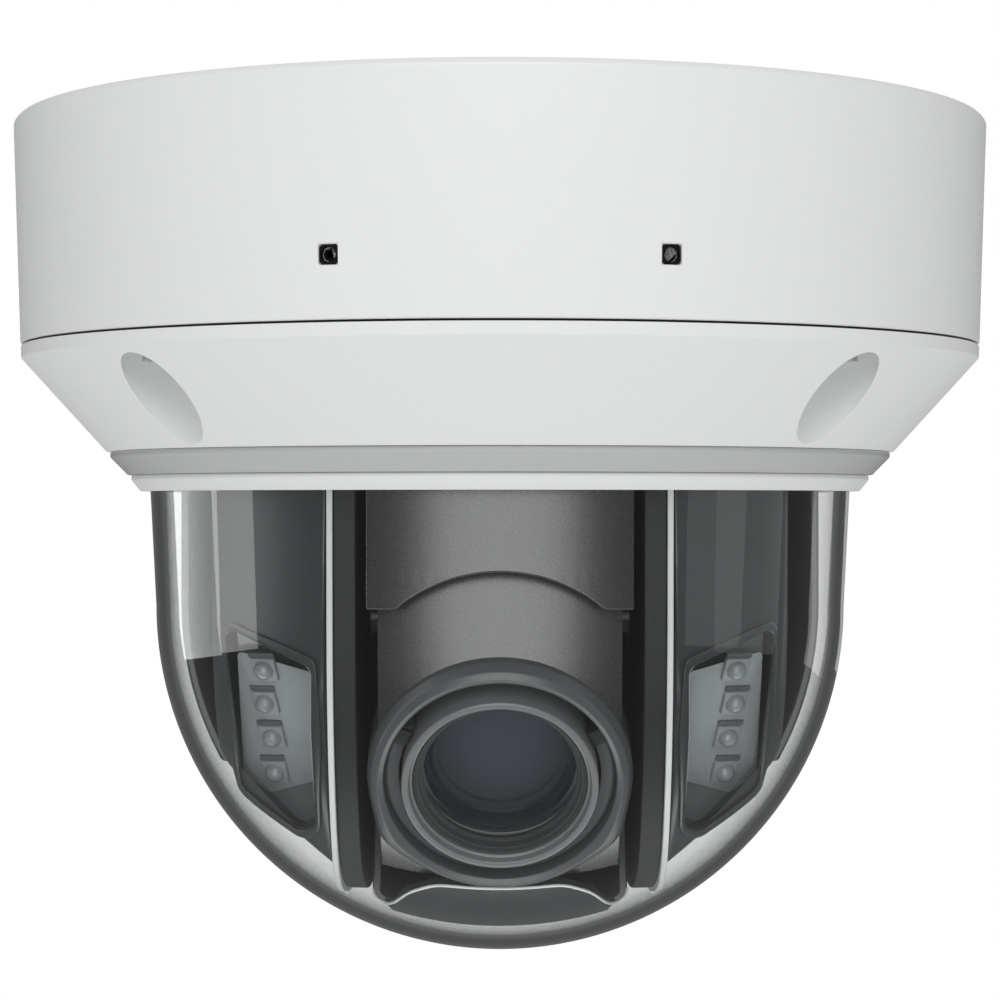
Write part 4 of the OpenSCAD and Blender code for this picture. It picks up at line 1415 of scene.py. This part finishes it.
@dataclass
class Studio:
    """Plain pale surroundings, soft lamps and the camera."""

    camera_place: tuple[float, float, float] = (0.0, -0.4896, -0.0625)
    lens_mm: float = 105.73
    sensor_mm: float = 36.0
    shift_up: float = 0.0037
    floor_z: float = -0.75
    floor_half: float = 6.0
    seen: float = 1.0
    # Strength by the height of the direction, from straight down to straight up: light shed, and mirrored
    shed_ramp: tuple[tuple[float, float], ...] = (
        (0.0, 1.13), (0.35, 0.98), (0.48, 0.30), (0.65, 0.26), (1.0, 0.5))
    mirror_ramp: tuple[tuple[float, float], ...] = (
        (0.0, 0.14), (0.4, 0.12), (0.62, 0.10), (0.74, 0.5), (1.0, 0.6))
    lamps: list[SoftBox] = field(default_factory=lambda: [
        SoftBox("left_softbox", 94, 24, 1.1, 0.43, 1.5, 5.0, Lit.DOME),
        SoftBox("right_softbox", -128, 20, 1.1, 0.34, 1.3, 1.2, Lit.DOME),
        SoftBox("right_fill", -72, 24, 1.1, 0.5, 1.5, 1.3, Lit.DOME),
        SoftBox("low_softbox", 0, -93, 1.0, 1.7, 0.42, 9.0, Lit.INSIDE),
        SoftBox("front_softbox", 0, 6, 1.3, 1.0, 2.1, 23.0, Lit.INSIDE),
        SoftBox("body_softbox", 0, 38, 1.3, 0.6, 0.9, 8.5, Lit.BODY),
    ])

    @staticmethod
    def by_height(tree: bpy.types.NodeTree, height: bpy.types.NodeSocket,
                  stops: tuple[tuple[float, float], ...]) -> bpy.types.NodeSocket:
        """A strength that depends on a direction's height.

        Args:
            tree: the world's node tree.
            height: the socket with the height, from -1 to 1.
            stops: height scaled to 0 to 1, and strength.

        Returns:
            The socket with the strength.
        """
        scaled = add_node(tree, "ShaderNodeMapRange", {"From Min": -1.0, "From Max": 1.0}, {"Value": height})
        return add_ramp(tree, scaled.outputs[0], [(at, (value, value, value, 1.0)) for at, value in stops])

    def world(self) -> None:
        """A pale surround that sheds and mirrors more light from below, as a white floor does."""
        world = bpy.data.worlds.new("studio")
        bpy.context.scene.world = world
        world.use_nodes = True
        tree = world.node_tree
        tree.nodes.clear()
        way = add_node(tree, "ShaderNodeTexCoord").outputs["Generated"]
        height = add_node(tree, "ShaderNodeSeparateXYZ", links={0: way}).outputs["Z"]
        path = add_node(tree, "ShaderNodeLightPath")
        looked = add_node(tree, "ShaderNodeMath", {"operation": "MAXIMUM"},
                          {0: path.outputs["Is Camera Ray"], 1: path.outputs["Is Transmission Ray"]})
        lit = add_node(tree, "ShaderNodeMix", links={
            0: path.outputs["Is Glossy Ray"], 2: self.by_height(tree, height, self.shed_ramp),
            3: self.by_height(tree, height, self.mirror_ramp)})
        strength = add_node(tree, "ShaderNodeMix", {3: self.seen}, {0: looked.outputs[0], 2: lit.outputs[0]})
        surface = add_node(tree, "ShaderNodeBackground", {"Color": linear("#ffffff")},
                           {"Strength": strength.outputs[0]})
        add_node(tree, "ShaderNodeOutputWorld", links={"Surface": surface.outputs[0]})

    def floor(self) -> None:
        """A plain pale floor far below the hanging camera. The world's lower half sheds its light."""
        size = self.floor_half
        mesh = bpy.data.meshes.new("pale_floor")
        mesh.from_pydata([(-size, -size, self.floor_z), (size, -size, self.floor_z),
                          (size, size, self.floor_z), (-size, size, self.floor_z)], [], [(0, 1, 2, 3)])
        floor = bpy.data.objects.new("pale_floor", mesh)
        bpy.context.scene.collection.objects.link(floor)
        material, tree = new_material("matt_white_floor")
        surface = add_node(tree, "ShaderNodeEmission", {"Color": linear("#ffffff"), "Strength": self.seen})
        add_node(tree, "ShaderNodeOutputMaterial", links={"Surface": surface.outputs[0]})
        mesh.materials.append(material)
        for rays in ("diffuse", "glossy", "transmission", "shadow"):
            setattr(floor, f"visible_{rays}", False)

    def camera(self) -> None:
        """The camera, level, with a long lens."""
        data = bpy.data.cameras.new("camera")
        data.lens, data.sensor_width, data.shift_y = self.lens_mm, self.sensor_mm, self.shift_up
        data.clip_start, data.clip_end = 0.01, 50.0
        camera = bpy.data.objects.new("camera", data)
        camera.location = self.camera_place
        camera.rotation_euler = (math.radians(90), 0.0, 0.0)
        bpy.context.scene.collection.objects.link(camera)
        bpy.context.scene.camera = camera

    def build(self) -> None:
        """Builds the surroundings and the camera."""
        self.camera()
        self.world()
        self.floor()
        bpy.context.scene.view_settings.view_transform = "Standard"

    def light(self) -> None:
        """Hangs the lamps, once every piece that they light is there."""
        target = np.array([0.0, 0.0, -0.08])
        for lamp in self.lamps:
            lamp.build(target)


def main() -> None:
    """Builds the studio, then every sub-assembly."""
    logging.basicConfig(level=logging.INFO, format="%(name)s: %(message)s")
    studio = Studio()
    studio.build()
    dress_cad_nodes()
    Housing().build()
    Dome().build()
    Lamps().build()
    PanModule().build()
    Head().build()
    studio.light()


if __name__ == "__main__":
    main()
